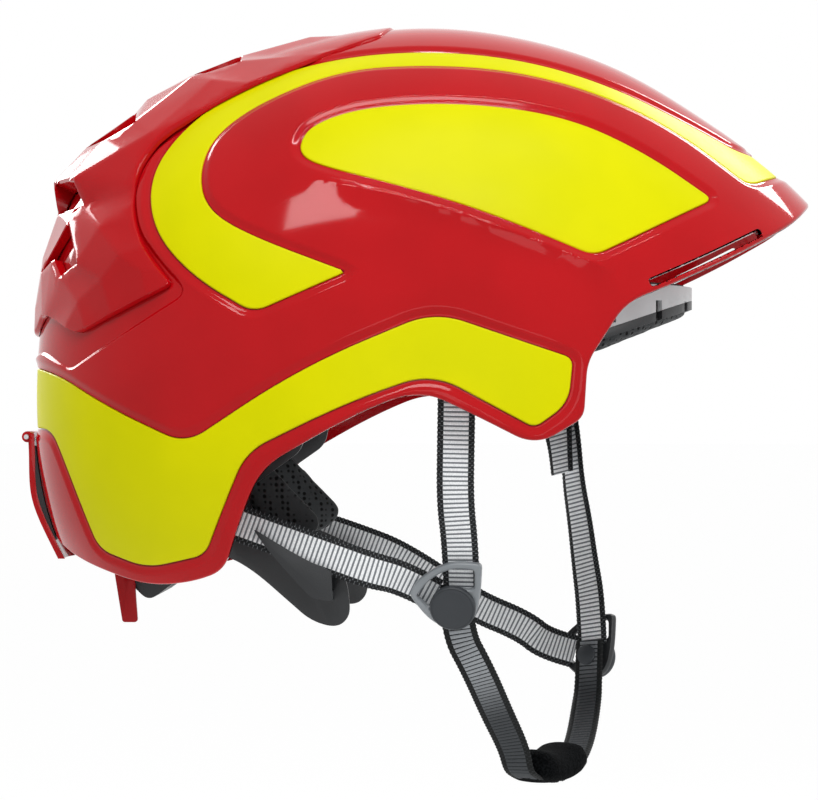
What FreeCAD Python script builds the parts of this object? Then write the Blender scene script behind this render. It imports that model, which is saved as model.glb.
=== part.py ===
"""Hard hat with four-strap chin harness: shell, inlays, liner, headband, size adjuster and straps.

Frame: millimetres, +X to the front, +Y to the wearer's left, +Z up, origin at the middle of the head
opening. The helmet sits nose up by head_pitch, so the head's own forward axis leans up by that angle.
"""
import FreeCAD, Part
import math
import os

import Sketcher
from FreeCAD import Matrix, Placement, Rotation, Vector

PARTS_FOLDER = "parts"
NOMINAL_BRIM = 158.5
NOMINAL_REAR = 149.5
NOMINAL_CROWN = 148.0
NOMINAL_SKIRT = 70.0
NOMINAL_HALF_WIDTH = 108.0
FAR = 200.0  # beyond every surface of the helmet, for the ends of cutting prisms

SIZES = {
    # shell
    "side_room": 28.0,
    "crown_room": 30.0,
    "brim_room": 51.5,
    "rear_room": 42.5,
    "skirt_depth": NOMINAL_SKIRT,
    "shell_thickness": 3.0,
    "inlay_thickness": 1.2,
    "inlay_gap": 0.4,
    "recess_depth": 1.4,
    "seat_clearance": 0.05,
    "cover_edge_height": 1.8,
    "cover_ridge_height": 7.5,
    "cover_wall": 2.4,
    "brim_slot_height": 3.0,
    "brim_slot_depth": 7.0,
    "brim_slot_length": 44.0,
    "liner_thickness": 15.0,
    "liner_clearance": 0.4,
    "liner_inset": 13.0,
    # head and headband
    "head_pitch": 24.0,
    "head_length": 214.0,
    "head_breadth": 160.0,
    "head_height": 118.0,
    "band_thickness": 2.2,
    "band_height": 22.0,
    "arm_height": 13.0,
    "brow_pad_thickness": 7.0,
    "pad_clearance": 0.3,
    "crown_pad_thickness": 9.0,
    "crown_pad_diameter": 92.0,
    # size adjuster
    "housing_width": 58.0,
    "housing_height": 44.0,
    "housing_thickness": 9.0,
    "housing_wall": 1.8,
    "knob_diameter": 25.0,
    "knob_thickness": 8.0,
    "tooth_module": 1.0,
    "pinion_teeth": 12.0,
    "pinion_width": 3.4,
    "rack_thickness": 3.0,
    "rack_height": 5.0,
    "rack_length": 44.0,
    "axle_diameter": 4.0,
    "running_clearance": 0.3,
    # straps
    "strap_width": 14.0,
    "strap_thickness": 1.6,
    "lower_strap_width": 13.0,
    "divider_thickness": 3.4,
    "divider_length": 27.0,
    "divider_width": 24.5,
    "disc_diameter": 17.4,
    "disc_thickness": 3.0,
    "stud_diameter": 5.0,
    "anchor_width": 17.0,
    "anchor_height": 11.0,
    "anchor_thickness": 3.0,
    "boss_height": 5.0,
    "rear_boss_height": 7.5,
    "boss_diameter": 10.0,
    "screw_diameter": 3.0,
    "screw_head_diameter": 5.6,
    "screw_head_height": 1.4,
    "chin_pad_length": 44.0,
    "chin_pad_width": 25.0,
    "chin_pad_thickness": 10.0,
    # rear pieces
    "clip_width": 30.0,
    "clip_thickness": 2.4,
    "clip_pin_diameter": 2.0,
    "tab_width": 8.0,
    "tab_length": 26.0,
    "tab_thickness": 2.0,
    "tab_pin_diameter": 2.0,
}

doc = FreeCAD.newDocument("helmet")
sheet = doc.addObject("Spreadsheet::Sheet", "sizes")
for row, (alias, number) in enumerate(SIZES.items(), start=1):
    sheet.set(f"A{row}", alias)
    sheet.set(f"B{row}", str(number))
    sheet.setAlias(f"B{row}", alias)
doc.recompute()


def size(alias):
    """The value of one driving dimension."""
    return float(sheet.get(alias))


# ---------------------------------------------------------------- shape of the shell
FULLNESS = 2.4  # exponent of the shell's cross sections: 2 is an ellipse, more is boxier
# The shell follows the head it is made for, with room on every side
HALF_WIDTH = size("head_breadth") / 2 + size("side_room")
CROWN_HEIGHT = size("head_height") + size("crown_room")
BRIM_REACH = size("head_length") / 2 + size("brim_room")
REAR_REACH = size("head_length") / 2 + size("rear_room")


def at(x, z):
    """A design point of the side view, carried by the shell's four reaches."""
    along = BRIM_REACH / NOMINAL_BRIM if x > 0 else REAR_REACH / NOMINAL_REAR
    up = CROWN_HEIGHT / NOMINAL_CROWN if z > 0 else size("skirt_depth") / NOMINAL_SKIRT
    return x * along, z * up


def spot(x, y, z):
    """A design point beside the middle plane, carried like at() and by the shell's width."""
    along, up = at(x, z)
    return Vector(along, y * HALF_WIDTH / NOMINAL_HALF_WIDTH, up)


SILHOUETTE = [at(x, z) for x, z in (
    (158.5, 78), (143, 92.5), (117, 111.5), (84, 131), (46, 143.5), (5, 148), (-40, 141.5),
    (-82, 126.5), (-113, 107), (-134, 82), (-143.5, 55), (-148, 28), (-149.5, 0), (-148, -24),
    (-143.5, -46), (-134, -68), (-116, -89), (-88, -104), (-45, -112), (0, -113), (50, -109),
    (100, -95), (140, -71), (168, -38), (181, 0), (180, 36), (172, 60))]


def solve(rows, right):
    """Solve a small linear system by elimination."""
    count = len(right)
    table = [list(row) + [value] for row, value in zip(rows, right)]
    for pivot in range(count):
        best = max(range(pivot, count), key=lambda index: abs(table[index][pivot]))
        table[pivot], table[best] = table[best], table[pivot]
        for index in range(pivot + 1, count):
            factor = table[index][pivot] / table[pivot][pivot]
            if factor:
                for column in range(pivot, count + 1):
                    table[index][column] -= factor * table[pivot][column]
    result = [0.0] * count
    for pivot in reversed(range(count)):
        known = sum(table[pivot][column] * result[column] for column in range(pivot + 1, count))
        result[pivot] = (table[pivot][count] - known) / table[pivot][pivot]
    return result


class PeriodicSpline:
    """Closed C2 cubic through (angle, radius) points."""

    def __init__(self, points):
        self.angles = [angle for angle, _ in points]
        self.values = [value for _, value in points]
        count = len(points)
        self.steps = [(self.angles[(i + 1) % count] - self.angles[i]) % (2 * math.pi)
                      for i in range(count)]
        rows = []
        right = []
        for i in range(count):
            before = self.steps[i - 1]
            after = self.steps[i]
            row = [0.0] * count
            row[i - 1] += before / 6
            row[i] += (before + after) / 3
            row[(i + 1) % count] += after / 6
            rows.append(row)
            rise = (self.values[(i + 1) % count] - self.values[i]) / after
            fall = (self.values[i] - self.values[i - 1]) / before
            right.append(rise - fall)
        self.bends = solve(rows, right)

    def __call__(self, angle):
        count = len(self.angles)
        for i in range(count):
            offset = (angle - self.angles[i]) % (2 * math.pi)
            if offset <= self.steps[i]:
                break
        step = self.steps[i]
        right = offset / step
        left = 1 - right
        j = (i + 1) % count
        bend = ((left ** 3 - left) * self.bends[i] + (right ** 3 - right) * self.bends[j]) * step ** 2 / 6
        return left * self.values[i] + right * self.values[j] + bend


reach_round = PeriodicSpline(sorted((math.atan2(z, x) % (2 * math.pi), math.hypot(x, z))
                                    for x, z in SILHOUETTE))


def shell_half_width(x, z):
    """Half the shell's width at a point of the side view, and 0 outside its silhouette."""
    share = math.hypot(x, z) / reach_round(math.atan2(z, x))
    return HALF_WIDTH * math.sqrt(max(0.0, 1 - share ** FULLNESS))


def shell_level(x, y, z):
    """Implicit function of the outer surface: 1 on it, less inside."""
    share = math.hypot(x, z) / reach_round(math.atan2(z, x))
    return share ** FULLNESS + (y / HALF_WIDTH) ** 2


def shell_normal(point):
    """Outward unit normal of the outer surface."""
    step = 0.01
    gradient = []
    for axis in (Vector(step, 0, 0), Vector(0, step, 0), Vector(0, 0, step)):
        ahead = point + axis
        behind = point - axis
        gradient.append(shell_level(ahead.x, ahead.y, ahead.z) - shell_level(behind.x, behind.y, behind.z))
    return Vector(*gradient).normalize()


# The surface is laid out as a fan: each rib runs from a point under the rim on the right side, over
# the middle, to the same point on the left side.
FAN_FEET = [at(x, z) for x, z in (
    (138, 40), (128, 36), (88, 6), (60, -34), (14, -26), (-36, -44), (-58, -88), (-78, -98), (-84, -100))]
FAN_START = math.radians(13)
FAN_END = math.radians(218)
FAN_RIBS = 35
RIB_POINTS = 33


def fan_foot(share):
    """Point of the smooth line under the rim, a uniform cubic B-spline through the fan's feet."""
    spans = len(FAN_FEET) - 3
    place = min(share * spans, spans - 1e-9)
    first = int(place)
    t = place - first
    weights = ((1 - t) ** 3, 3 * t ** 3 - 6 * t ** 2 + 4, -3 * t ** 3 + 3 * t ** 2 + 3 * t + 1, t ** 3)
    x = sum(w * FAN_FEET[first + k][0] for k, w in enumerate(weights)) / 6
    z = sum(w * FAN_FEET[first + k][1] for k, w in enumerate(weights)) / 6
    return x, z


def fan_grid():
    """Points of the outer surface with their normals, rib by rib."""
    grid = []
    for rib in range(FAN_RIBS):
        share = rib / (FAN_RIBS - 1)
        angle = FAN_START + (FAN_END - FAN_START) * share
        foot_x, foot_z = fan_foot(share)
        top = reach_round(angle)
        line = []
        for k in range(RIB_POINTS):
            turn = math.pi * k / (RIB_POINTS - 1)
            rise = math.sin(turn)
            x = foot_x + (top * math.cos(angle) - foot_x) * rise
            z = foot_z + (top * math.sin(angle) - foot_z) * rise
            width = 0.0 if 2 * k == RIB_POINTS - 1 else shell_half_width(x, z)
            point = Vector(x, -math.copysign(width, math.cos(turn)), z)
            line.append((point, shell_normal(point)))
        grid.append(line)
    return grid


def thick_patch(outer_grid, inner_grid):
    """Solid between two surfaces that are given as equal grids of points."""
    surfaces = []
    for grid in (outer_grid, inner_grid):
        surface = Part.BSplineSurface()
        surface.interpolate(grid)
        surfaces.append(surface)
    faces = [surface.toShape() for surface in surfaces]
    outer, inner = surfaces
    u_low, u_high, v_low, v_high = outer.bounds()
    for iso, value in (("uIso", u_low), ("uIso", u_high), ("vIso", v_low), ("vIso", v_high)):
        outer_edge = getattr(outer, iso)(value).toShape()
        inner_edge = getattr(inner, iso)(value).toShape()
        faces.append(Part.makeRuledSurface(outer_edge, inner_edge))
    sewn = Part.Compound(faces)
    sewn.sewShape()
    solid = Part.Solid(sewn.Shells[0])
    if solid.Volume < 0:
        solid.reverse()
    return solid


FAN = fan_grid()


def layer(low, high):
    """Solid between two offsets of the outer surface; an offset is a number or a function of the point."""
    grids = []
    for offset in (high, low):
        lift = offset if callable(offset) else (lambda point, value=offset: value)
        grids.append([[point + normal * lift(point) for point, normal in line] for line in FAN])
    return thick_patch(*grids)


# ---------------------------------------------------------------- outlines of the side view
def outline(*points):
    """Outline points (x, z) or (x, z, reach), carried by the shell's reaches.

    A corner is rounded from reach millimetres before it, or from the middle of its edges when no
    reach is given."""
    return [(*at(point[0], point[1]), *point[2:]) for point in points]


def grown(points, gap):
    """The outline moved outward by gap; the points run either way round."""
    area = sum(a[0] * b[1] - b[0] * a[1] for a, b in zip(points, points[1:] + points[:1]))
    side = math.copysign(gap, area)
    result = []
    for i, point in enumerate(points):
        before = points[i - 1]
        after = points[(i + 1) % len(points)]
        normals = []
        for start, end in ((before, point), (point, after)):
            run = math.hypot(end[0] - start[0], end[1] - start[1])
            normals.append(((end[1] - start[1]) / run, (start[0] - end[0]) / run))
        (ax, az), (bx, bz) = normals
        scale = side / (1 + ax * bx + az * bz)
        result.append((point[0] + (ax + bx) * scale, point[1] + (az + bz) * scale, *point[2:]))
    return result


def outline_edges(points, y):
    """Edges of the rounded outline in the plane at y."""
    corners = []
    for i, point in enumerate(points):
        corner = Vector(point[0], y, point[1])
        before = Vector(points[i - 1][0], y, points[i - 1][1])
        after_point = points[(i + 1) % len(points)]
        after = Vector(after_point[0], y, after_point[1])
        reach = point[2] if len(point) > 2 else FAR
        start = corner + (before - corner).normalize() * min(reach, (before - corner).Length / 2)
        end = corner + (after - corner).normalize() * min(reach, (after - corner).Length / 2)
        corners.append((start, corner, end))
    edges = []
    for i, (start, corner, end) in enumerate(corners):
        previous_end = corners[i - 1][2]
        if (start - previous_end).Length > 1e-6:
            edges.append(Part.LineSegment(previous_end, start).toShape())
        if (start - end).Length > 1e-6:
            curve = Part.BezierCurve()
            curve.setPoles([start, corner, end])
            edges.append(curve.toShape())
    return edges


def prism(points, low=-FAR, high=FAR):
    """The rounded outline extruded from y = low to y = high."""
    wire = Part.Wire(outline_edges(points, low))
    return Part.Face(wire).extrude(Vector(0, high - low, 0))


RIM = outline(
    (185, 92, 0), (163, 80.5, 3), (150.5, 68.6, 6), (128, 55.8), (101, 43.2), (84, 36.5, 9), (76, 24, 9),
    (69.6, 14, 5), (68.3, -6.5, 4), (50.5, -17.2, 9), (26, -4.6), (7, 4.2, 14), (-20, -7), (-51, -25, 9),
    (-58.5, -41), (-66.5, -64.5, 6), (-80, -69.5), (-97, -71), (-112.5, -67), (-127.5, -62, 8),
    (-141, -54.5, 6), (-180, -46, 0), (-180, 190, 0), (185, 190, 0))
TEARDROP = outline(
    (-39.2, 97), (-34, 105.2), (-14, 111.8), (24, 113.4), (62, 108.4), (92, 95), (118.5, 76.6, 4),
    (72, 53.4, 5), (30, 70.8), (-6, 81.3), (-27, 87), (-37, 91))
STRIPE = outline(
    (-19, 47.6, 2.5), (-54.5, 32.2, 6), (-79, 46.5), (-95.2, 65), (-97.5, 87), (-84, 107), (-62, 122.5),
    (-30, 132.8), (8, 135.8), (46, 132.5), (80, 122.3), (112, 107.2), (136, 94.5), (152, 106), (164, 100),
    (147, 88.5, 4), (133, 82.8, 5), (104, 105), (72, 119.5), (40, 127.3), (8, 129), (-24, 127.3),
    (-54, 115), (-71.5, 102), (-77, 88), (-74, 73), (-58, 62.5))
BAND = outline(
    (-175, 14, 0), (-140, 13.2), (-112, -2.6), (-80.5, -16.2, 9), (-36, 12.5), (13, 33, 12), (64.4, 15.6, 3.5),
    (62.8, -1.5, 7), (50, -10.6, 3.5), (12, 9.8, 12), (-20, -1.5), (-57, -19.5, 9), (-65, -38),
    (-73.6, -58.8, 5), (-97.5, -64.6, 8), (-117.8, -58, 6), (-131.5, -25), (-138.5, -11.5, 6),
    (-175, -11.5, 0))
COVER = outline(
    (-3, 185, 0), (-3, 152, 0), (-10, 141.5, 2), (-64, 119.5), (-92, 101), (-103, 84), (-101, 66),
    (-95, 55, 8), (-85, 43, 3), (-124, 25, 4), (-140.5, 33.5, 3), (-147.5, 25, 2), (-175, 22, 0),
    (-175, 185, 0))
VENTS = [
    [(-86, 126.5, 1.5), (-83, 116, 1.5), (-61, 125, 1.5), (-63, 135.5, 1.5)],
    [(-122, 92, 1.5), (-113, 88, 1.5), (-98, 105, 1.5), (-104, 110, 1.5)],
    [(-127.5, 66, 1.5), (-131, 51, 1), (-123.5, 51, 1), (-122.5, 44.5, 1), (-115, 49.5, 1.5)],
]
VENT_INNER = 12.0  # the vents start this far from the middle plane
VENT_OUTER = [44.0, 48.0, 62.0]


def cover_lift(point):
    """Height of the vent cover's outside over the shell: a ridge at its rear corner, low at its sides."""
    angle = math.degrees(math.atan2(point.z, point.x)) % 360
    ridge_angle = 147.0
    spread = 9.0 if angle < ridge_angle else 5.0
    crest = math.exp(-((angle - ridge_angle) / spread) ** 2)
    middle = max(0.0, 1 - (point.y / 58.0) ** 2)
    return size("cover_edge_height") + (size("cover_ridge_height") * crest + 1.2) * middle


def cover_inside(point):
    """Height of the vent cover's inside: its wall below the outside, and never under the shell's surface."""
    room = cover_lift(point) - size("cover_wall") - size("seat_clearance")
    blend = 0.4
    return size("seat_clearance") + blend * math.log(1 + math.exp(room / blend))


# ---------------------------------------------------------------- document helpers
def feature(name, shape, placement=None):
    """A sub-part whose shape is made here, because no workbench feature fits it."""
    item = doc.addObject("Part::Feature", name)
    item.Label = name
    item.Shape = shape
    if placement:
        item.Placement = placement
    return item


def helper(name, shape):
    """A shape that other objects cut with or join, and that is no sub-part itself."""
    return feature("tool_" + name, shape)


def primitive(kind, name, placement, **sizes):
    """A Part primitive with its sizes bound to the sheet."""
    item = doc.addObject(kind, name)
    item.Label = name
    for prop, expression in sizes.items():
        item.setExpression(prop, expression)
    item.Placement = placement
    return item


def cut(name, base, *tools):
    """Base minus all tools."""
    item = doc.addObject("Part::Cut", name)
    item.Label = name
    item.Base = base
    item.Tool = tools[0] if len(tools) == 1 else fuse("tool_" + name + "_cutters", *tools)
    return item


def fuse(name, *shapes):
    item = doc.addObject("Part::MultiFuse", name)
    item.Label = name
    item.Shapes = list(shapes)
    return item


def common(name, *shapes):
    item = doc.addObject("Part::MultiCommon", name)
    item.Label = name
    item.Shapes = list(shapes)
    return item


def axes(origin, forward, upward):
    """Placement with local X along forward and local Z as near to upward as a right angle allows."""
    first = Vector(forward).normalize()
    third = Vector(upward)
    third = (third - first * third.dot(first)).normalize()
    second = third.cross(first)
    return Placement(Matrix(first.x, second.x, third.x, origin.x,
                            first.y, second.y, third.y, origin.y,
                            first.z, second.z, third.z, origin.z,
                            0, 0, 0, 1))


X_AXIS = Vector(1, 0, 0)
Y_AXIS = Vector(0, 1, 0)
Z_AXIS = Vector(0, 0, 1)
PITCH = math.radians(size("head_pitch"))
FORWARD = Vector(math.cos(PITCH), 0, math.sin(PITCH))
UPWARD = Vector(-math.sin(PITCH), 0, math.cos(PITCH))


def head_point(forward, side, up):
    """Point given along the head's own axes."""
    return FORWARD * forward + Y_AXIS * side + UPWARD * up


def plane_of(body, role):
    return next(item for item in body.Origin.OriginFeatures if item.Role == role)


def new_body(name, placement):
    body = doc.addObject("PartDesign::Body", name)
    body.Label = name
    body.Placement = placement
    return body


def new_sketch(body, name, role="XY_Plane"):
    sketch = body.newObject("Sketcher::SketchObject", name)
    sketch.AttachmentSupport = [(plane_of(body, role), "")]
    sketch.MapMode = "FlatFace"
    return sketch


def constrain(sketch, name, expression, *arguments):
    """A named dimension that reads the sheet."""
    index = sketch.addConstraint(Sketcher.Constraint(*arguments))
    sketch.renameConstraint(index, name)
    sketch.setExpression("Constraints." + name, expression)


def circle(sketch, name, expression, radius, x=0.0, y=0.0):
    """A circle at a fixed point with its radius bound to the sheet."""
    index = sketch.addGeometry(Part.Circle(Vector(x, y, 0), Z_AXIS, radius))
    constrain(sketch, name, expression, "Radius", index, radius)
    return index


def pad(body, sketch, name, expression, midplane=False, reversed_side=False):
    item = body.newObject("PartDesign::Pad", name)
    item.Profile = sketch
    item.Midplane = midplane
    item.Reversed = reversed_side
    item.setExpression("Length", expression)
    return item


def pocket(body, sketch, name, reversed_side=False):
    """A pocket through everything in both directions."""
    item = body.newObject("PartDesign::Pocket", name)
    item.Profile = sketch
    item.Type = "ThroughAll"
    item.Midplane = True
    item.Reversed = reversed_side
    return item


def closed_line(sketch, corners):
    """Closed line of straight edges in a sketch; the caller works the corners out from the sheet."""
    for start, end in zip(corners, corners[1:] + corners[:1]):
        sketch.addGeometry(Part.LineSegment(start, end))


NODES = []


def node(item):
    """Marks an object as one physical piece that is written to its own file."""
    NODES.append(item)
    return item


# ---------------------------------------------------------------- shell with its recesses
WALL = size("shell_thickness")
SEAT = size("seat_clearance")
trimmer = layer(-WALL / 2, 2 * WALL)  # everything that would show outside the shell


def both_sides(points, start, end):
    """Two prisms of an outline, from start to end on each side of the middle plane."""
    return [prism(points, side * start if side > 0 else -end, side * end if side > 0 else -start)
            for side in (-1, 1)]


FRONT_BOSS = size("boss_height")
REAR_BOSS = size("rear_boss_height")
STRAP_POSTS = {  # name: (x, z, side, boss height); the blocks that hold the upper ends of the straps
    "front_right": (*at(21, 10), -1, FRONT_BOSS),
    "rear_right": (*at(-84, -38), -1, REAR_BOSS),
    "front_left": (*at(60, 8), 1, FRONT_BOSS),
    "rear_left": (*at(-84, -38), 1, REAR_BOSS),
}
BOSS_RADIUS = size("boss_diameter") / 2
SCREW_RADIUS = size("screw_diameter") / 2
RUNNING = size("running_clearance")


def boss_end(x, z, height):
    """Distance from the middle plane to the flat end of a boss at (x, z)."""
    return shell_half_width(x, z) - WALL - height


def side_cylinder(x, z, side, start, end, radius):
    """Cylinder along Y between two distances from the middle plane."""
    low = min(side * start, side * end)
    return Part.makeCylinder(radius, abs(end - start), Vector(x, low, z), Y_AXIS)


shell_body = layer(-WALL, 0.0).common(prism(RIM))
for x, z, side, height in STRAP_POSTS.values():
    face = boss_end(x, z, height)
    boss = side_cylinder(x, z, side, face, face + height + WALL, BOSS_RADIUS)
    shell_body = shell_body.fuse(boss.cut(trimmer))
    shell_body = shell_body.cut(side_cylinder(x, z, side, face - 1, face + height, SCREW_RADIUS + SEAT))

RECESS = layer(-size("recess_depth"), 2.0)
GAP = size("inlay_gap")
teardrop_low = 20.0  # the teardrops stay on the sides, this far from the middle plane
recess_tools = [RECESS.common(tool) for tool in both_sides(grown(TEARDROP, GAP), teardrop_low, FAR)]
recess_tools.append(RECESS.common(prism(grown(STRIPE, GAP))))
recess_tools.append(RECESS.common(prism(grown(BAND, GAP))))

slot_height = size("brim_slot_height")
slot_low = outline((93.5, 42.1, 1), (114, 51.1), (136.5, 62.4, 1))
slot_high = [(x - 0.42 * slot_height, z + 0.9 * slot_height, *rest) for x, z, *rest in reversed(slot_low)]
slot_tools = both_sides(slot_low + slot_high, teardrop_low, FAR)

vent_tools = []
for points, end in zip(VENTS, VENT_OUTER):
    vent_tools += both_sides(outline(*points), VENT_INNER, end)

# Lugs that carry the lamp clip: two knuckles at the rear centre
clip_half = size("clip_width") / 2
lug_width = 3.0
pin_radius = size("clip_pin_diameter") / 2
knuckle_radius = pin_radius + 1.2
CLIP_PIN = Vector(-REAR_REACH - 1.6, 0, at(0, -14.6)[1])
lugs = []
for side in (-1, 1):
    start = clip_half + RUNNING
    low = min(side * start, side * (start + lug_width))
    lug = Part.makeCylinder(knuckle_radius, lug_width, Vector(CLIP_PIN.x, low, CLIP_PIN.z), Y_AXIS)
    root = Part.makeBox(6, lug_width, 2 * knuckle_radius, Vector(CLIP_PIN.x, low, CLIP_PIN.z - knuckle_radius))
    lugs.append(lug.fuse(root).cut(layer(-12.0, -WALL / 2)))
for lug in lugs:
    shell_body = shell_body.fuse(lug)
pin_hole = Part.makeCylinder(pin_radius, 3 * clip_half, CLIP_PIN - Y_AXIS * 1.5 * clip_half, Y_AXIS)

shell_source = helper("shell_source", shell_body)
recesses = helper("recesses", Part.Compound(recess_tools))
slots = helper("brim_slots", Part.Compound(slot_tools))
vents = helper("vents", Part.Compound(vent_tools))
clip_bore = helper("clip_bore", pin_hole)
outer_shell = node(cut("outer_shell", shell_source, recesses, slots, vents, clip_bore))

# ---------------------------------------------------------------- inlays, cover and liner
inlay_floor = -size("recess_depth") + SEAT
inlay = layer(inlay_floor, inlay_floor + size("inlay_thickness"))
right_panel, left_panel = both_sides(TEARDROP, teardrop_low, FAR)
node(feature("side_inlay_right", inlay.common(right_panel)))
node(feature("side_inlay_left", inlay.common(left_panel)))
node(feature("crown_stripe", inlay.common(prism(STRIPE))))
node(feature("lower_band", inlay.common(prism(BAND))))

cover_source = helper("cover_source", layer(cover_inside, cover_lift).common(prism(COVER)))
rear_vent_cover = node(cut("rear_vent_cover", cover_source, vents))

LINER_TOP = WALL + size("liner_clearance")
LINER_DEPTH = LINER_TOP + size("liner_thickness")
LINER = outline(
    (112, 190, 0), (112, 80, 8), (97, 62, 8), (62, 42, 8), (20, 24), (-30, 17, 10), (-60, -10), (-84, -20, 8),
    (-118, -20, 8), (-180, -12, 0), (-180, 190, 0))
liner_source = helper("liner_source", layer(-LINER_DEPTH, -LINER_TOP).common(prism(LINER)))
impact_liner = node(cut("impact_liner", liner_source, vents))

crown_axis = head_point(0, 0, 1)
crown_cylinder = Part.makeCylinder(size("crown_pad_diameter") / 2, FAR, Vector(0, 0, 0), crown_axis)
pad_top = -LINER_DEPTH - size("pad_clearance")
crown_pad = layer(pad_top - size("crown_pad_thickness"), pad_top).common(crown_cylinder)
node(feature("crown_pad", crown_pad))

# ---------------------------------------------------------------- headband
HEAD_CENTRE = head_point(-2, 0, -12)
FOREHEAD_SHARE = 0.96  # the forehead lies a little above the head's longest line
BAND_THICKNESS = size("band_thickness")
side_room = 2.5
band_long = FOREHEAD_SHARE * size("head_length") / 2 + size("brow_pad_thickness")
band_short = size("head_breadth") / 2 + side_room + BAND_THICKNESS


def ellipse_solid(long, short, centre, axis, forward):
    """Tall elliptic cylinder along axis, its long half axis along forward."""
    place = axes(centre, forward, axis)
    edge = Part.Ellipse(Vector(0, 0, -FAR), long, short).toShape()
    solid = Part.Face(Part.Wire(edge)).extrude(Vector(0, 0, 2 * FAR))
    solid.Placement = place
    return solid


def elliptic_wall(long, short, thickness, centre, axis, forward):
    outer = ellipse_solid(long, short, centre, axis, forward)
    return outer.cut(ellipse_solid(long - thickness, short - thickness, centre, axis, forward))


def rounded_box(centre, sizes, rotation=None):
    """Box with its middle at centre."""
    box = Part.makeBox(*sizes, Vector(*[-value / 2 for value in sizes]))
    box.Placement = Placement(centre, rotation or Rotation())
    return box


BAND_CENTRE = Vector(HEAD_CENTRE.x, 0, 0)
brow_level = 33.0  # middle height of the forehead band
band_top = brow_level + size("band_height") / 2
band_low = brow_level - size("band_height") / 2
arm_half = size("arm_height") / 2
HEADBAND = [
    (160, band_top, 0), (62, band_top + 1, 8), (40, 28 + arm_half), (10, 18 + arm_half), (-20, 6 + arm_half),
    (-50, -12 + arm_half, 4), (-50, -12 - arm_half, 4), (-20, 6 - arm_half), (10, 18 - arm_half),
    (36, 27 - arm_half), (66, band_low, 8), (160, band_low, 0)]
band_wall = elliptic_wall(band_long, band_short, BAND_THICKNESS, BAND_CENTRE, Z_AXIS, X_AXIS)
headband_source = band_wall.common(prism(HEADBAND))
band_slots = []
SLOT_ANGLES = (14, 30, 46, 58)
for angle in SLOT_ANGLES:
    for side in (-1, 1):
        turn = math.radians(side * angle)
        place = BAND_CENTRE + Vector(band_long * math.cos(turn), band_short * math.sin(turn), brow_level + 1)
        outward = math.degrees(math.atan2(math.sin(turn) / band_short, math.cos(turn) / band_long))
        band_slots.append(rounded_box(place, (20, 4.2, 9), Rotation(Z_AXIS, outward)))
headband = node(cut("headband", helper("headband_source", headband_source),
                    helper("headband_slots", Part.Compound(band_slots))))

PAD_GAP = size("pad_clearance")
BROW_PAD = [(160, band_top + 2, 0), (72, band_top + 2, 8), (58, band_low + 4, 8), (66, band_low - 2, 5),
            (160, band_low - 3, 0)]
brow_wall = elliptic_wall(band_long - BAND_THICKNESS - PAD_GAP, band_short - BAND_THICKNESS - PAD_GAP,
                          size("brow_pad_thickness") - PAD_GAP, BAND_CENTRE, Z_AXIS, X_AXIS)
node(feature("brow_pad", brow_wall.common(prism(BROW_PAD))))

hanger_limit = ellipse_solid(band_long + SEAT, band_short + SEAT, BAND_CENTRE, Z_AXIS, X_AXIS)
shell_limit = layer(-WALL - SEAT, 40.0)
HANGERS = {"front": (61.0, 29.0, 12.0, 10.0), "rear": (-14.0, 8.0, 12.0, 10.0)}  # x, z, length, height
for place_name, (x, z, length, height) in HANGERS.items():
    for side_name, side in (("right", -1), ("left", 1)):
        block = rounded_box(Vector(x, side * HALF_WIDTH * 0.75, z), (length, HALF_WIDTH * 0.7, height))
        hanger = block.cut(hanger_limit).cut(shell_limit)
        node(feature(f"hanger_{place_name}_{side_name}", hanger))

# ---------------------------------------------------------------- nape cradle, pad and size adjuster
cradle_long = size("head_length") / 2 + 9.5
cradle_short = size("head_breadth") / 2 - 1.8
cradle_thickness = 2.5
CRADLE = [
    (-35, -4, 3), (-38, -19, 4), (-62, -36, 8), (-50, -50, 6), (-24, -62, 3), (-20.5, -70), (-19.8, -82, 4),
    (-25, -86.5, 5), (-35, -84, 5), (-66, -58), (-84, -62, 8), (-96, -73, 4), (-140, -76, 0), (-140, -30, 0),
    (-100, -22, 10), (-72, -16), (-54, -2, 4)]
cradle_wall = elliptic_wall(cradle_long, cradle_short, cradle_thickness, HEAD_CENTRE, UPWARD, FORWARD)
cradle_shape = cradle_wall.common(prism(CRADLE))

FIN = [(-56, -48.5, 1.5), (-38, -59.4), (-26.5, -64.5, 1), (-26, -76, 2), (-34, -74.5, 2), (-38.5, -70), (-51, -56)]
fin_inner = 77.0  # distance of the fins' inner face from the middle plane
fin_thickness = 1.6
BRIDGE = [(-26, -72, 0.5), (-26, -76, 0.8), (-34, -74.5, 0.8), (-35, -72, 0.5)]
for side in (-1, 1):
    start, end = sorted((side * fin_inner, side * (fin_inner + fin_thickness)))
    cradle_shape = cradle_shape.fuse(prism(FIN, start, end))
    start, end = sorted((side * (cradle_short * 0.8), side * (fin_inner + fin_thickness / 2)))
    bridge = prism(BRIDGE, start, end)
    inner_side = ellipse_solid(cradle_long - 0.5, cradle_short - 0.5, HEAD_CENTRE, UPWARD, FORWARD)
    cradle_shape = cradle_shape.fuse(bridge.cut(inner_side))
nape_cradle = node(feature("nape_cradle", cradle_shape))

NAPE_PAD = [(-29, -46, 6), (-40, -26, 8), (-56, -18, 6), (-80, -26), (-100, -30, 6), (-140, -34, 0), (-140, -70, 0),
            (-92, -68, 8), (-64, -54, 8), (-36, -56, 8)]
nape_wall = elliptic_wall(cradle_long - cradle_thickness - PAD_GAP, cradle_short - cradle_thickness - PAD_GAP,
                          size("brow_pad_thickness") - PAD_GAP, HEAD_CENTRE, UPWARD, FORWARD)
node(feature("nape_pad", nape_wall.common(prism(NAPE_PAD))))

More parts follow.
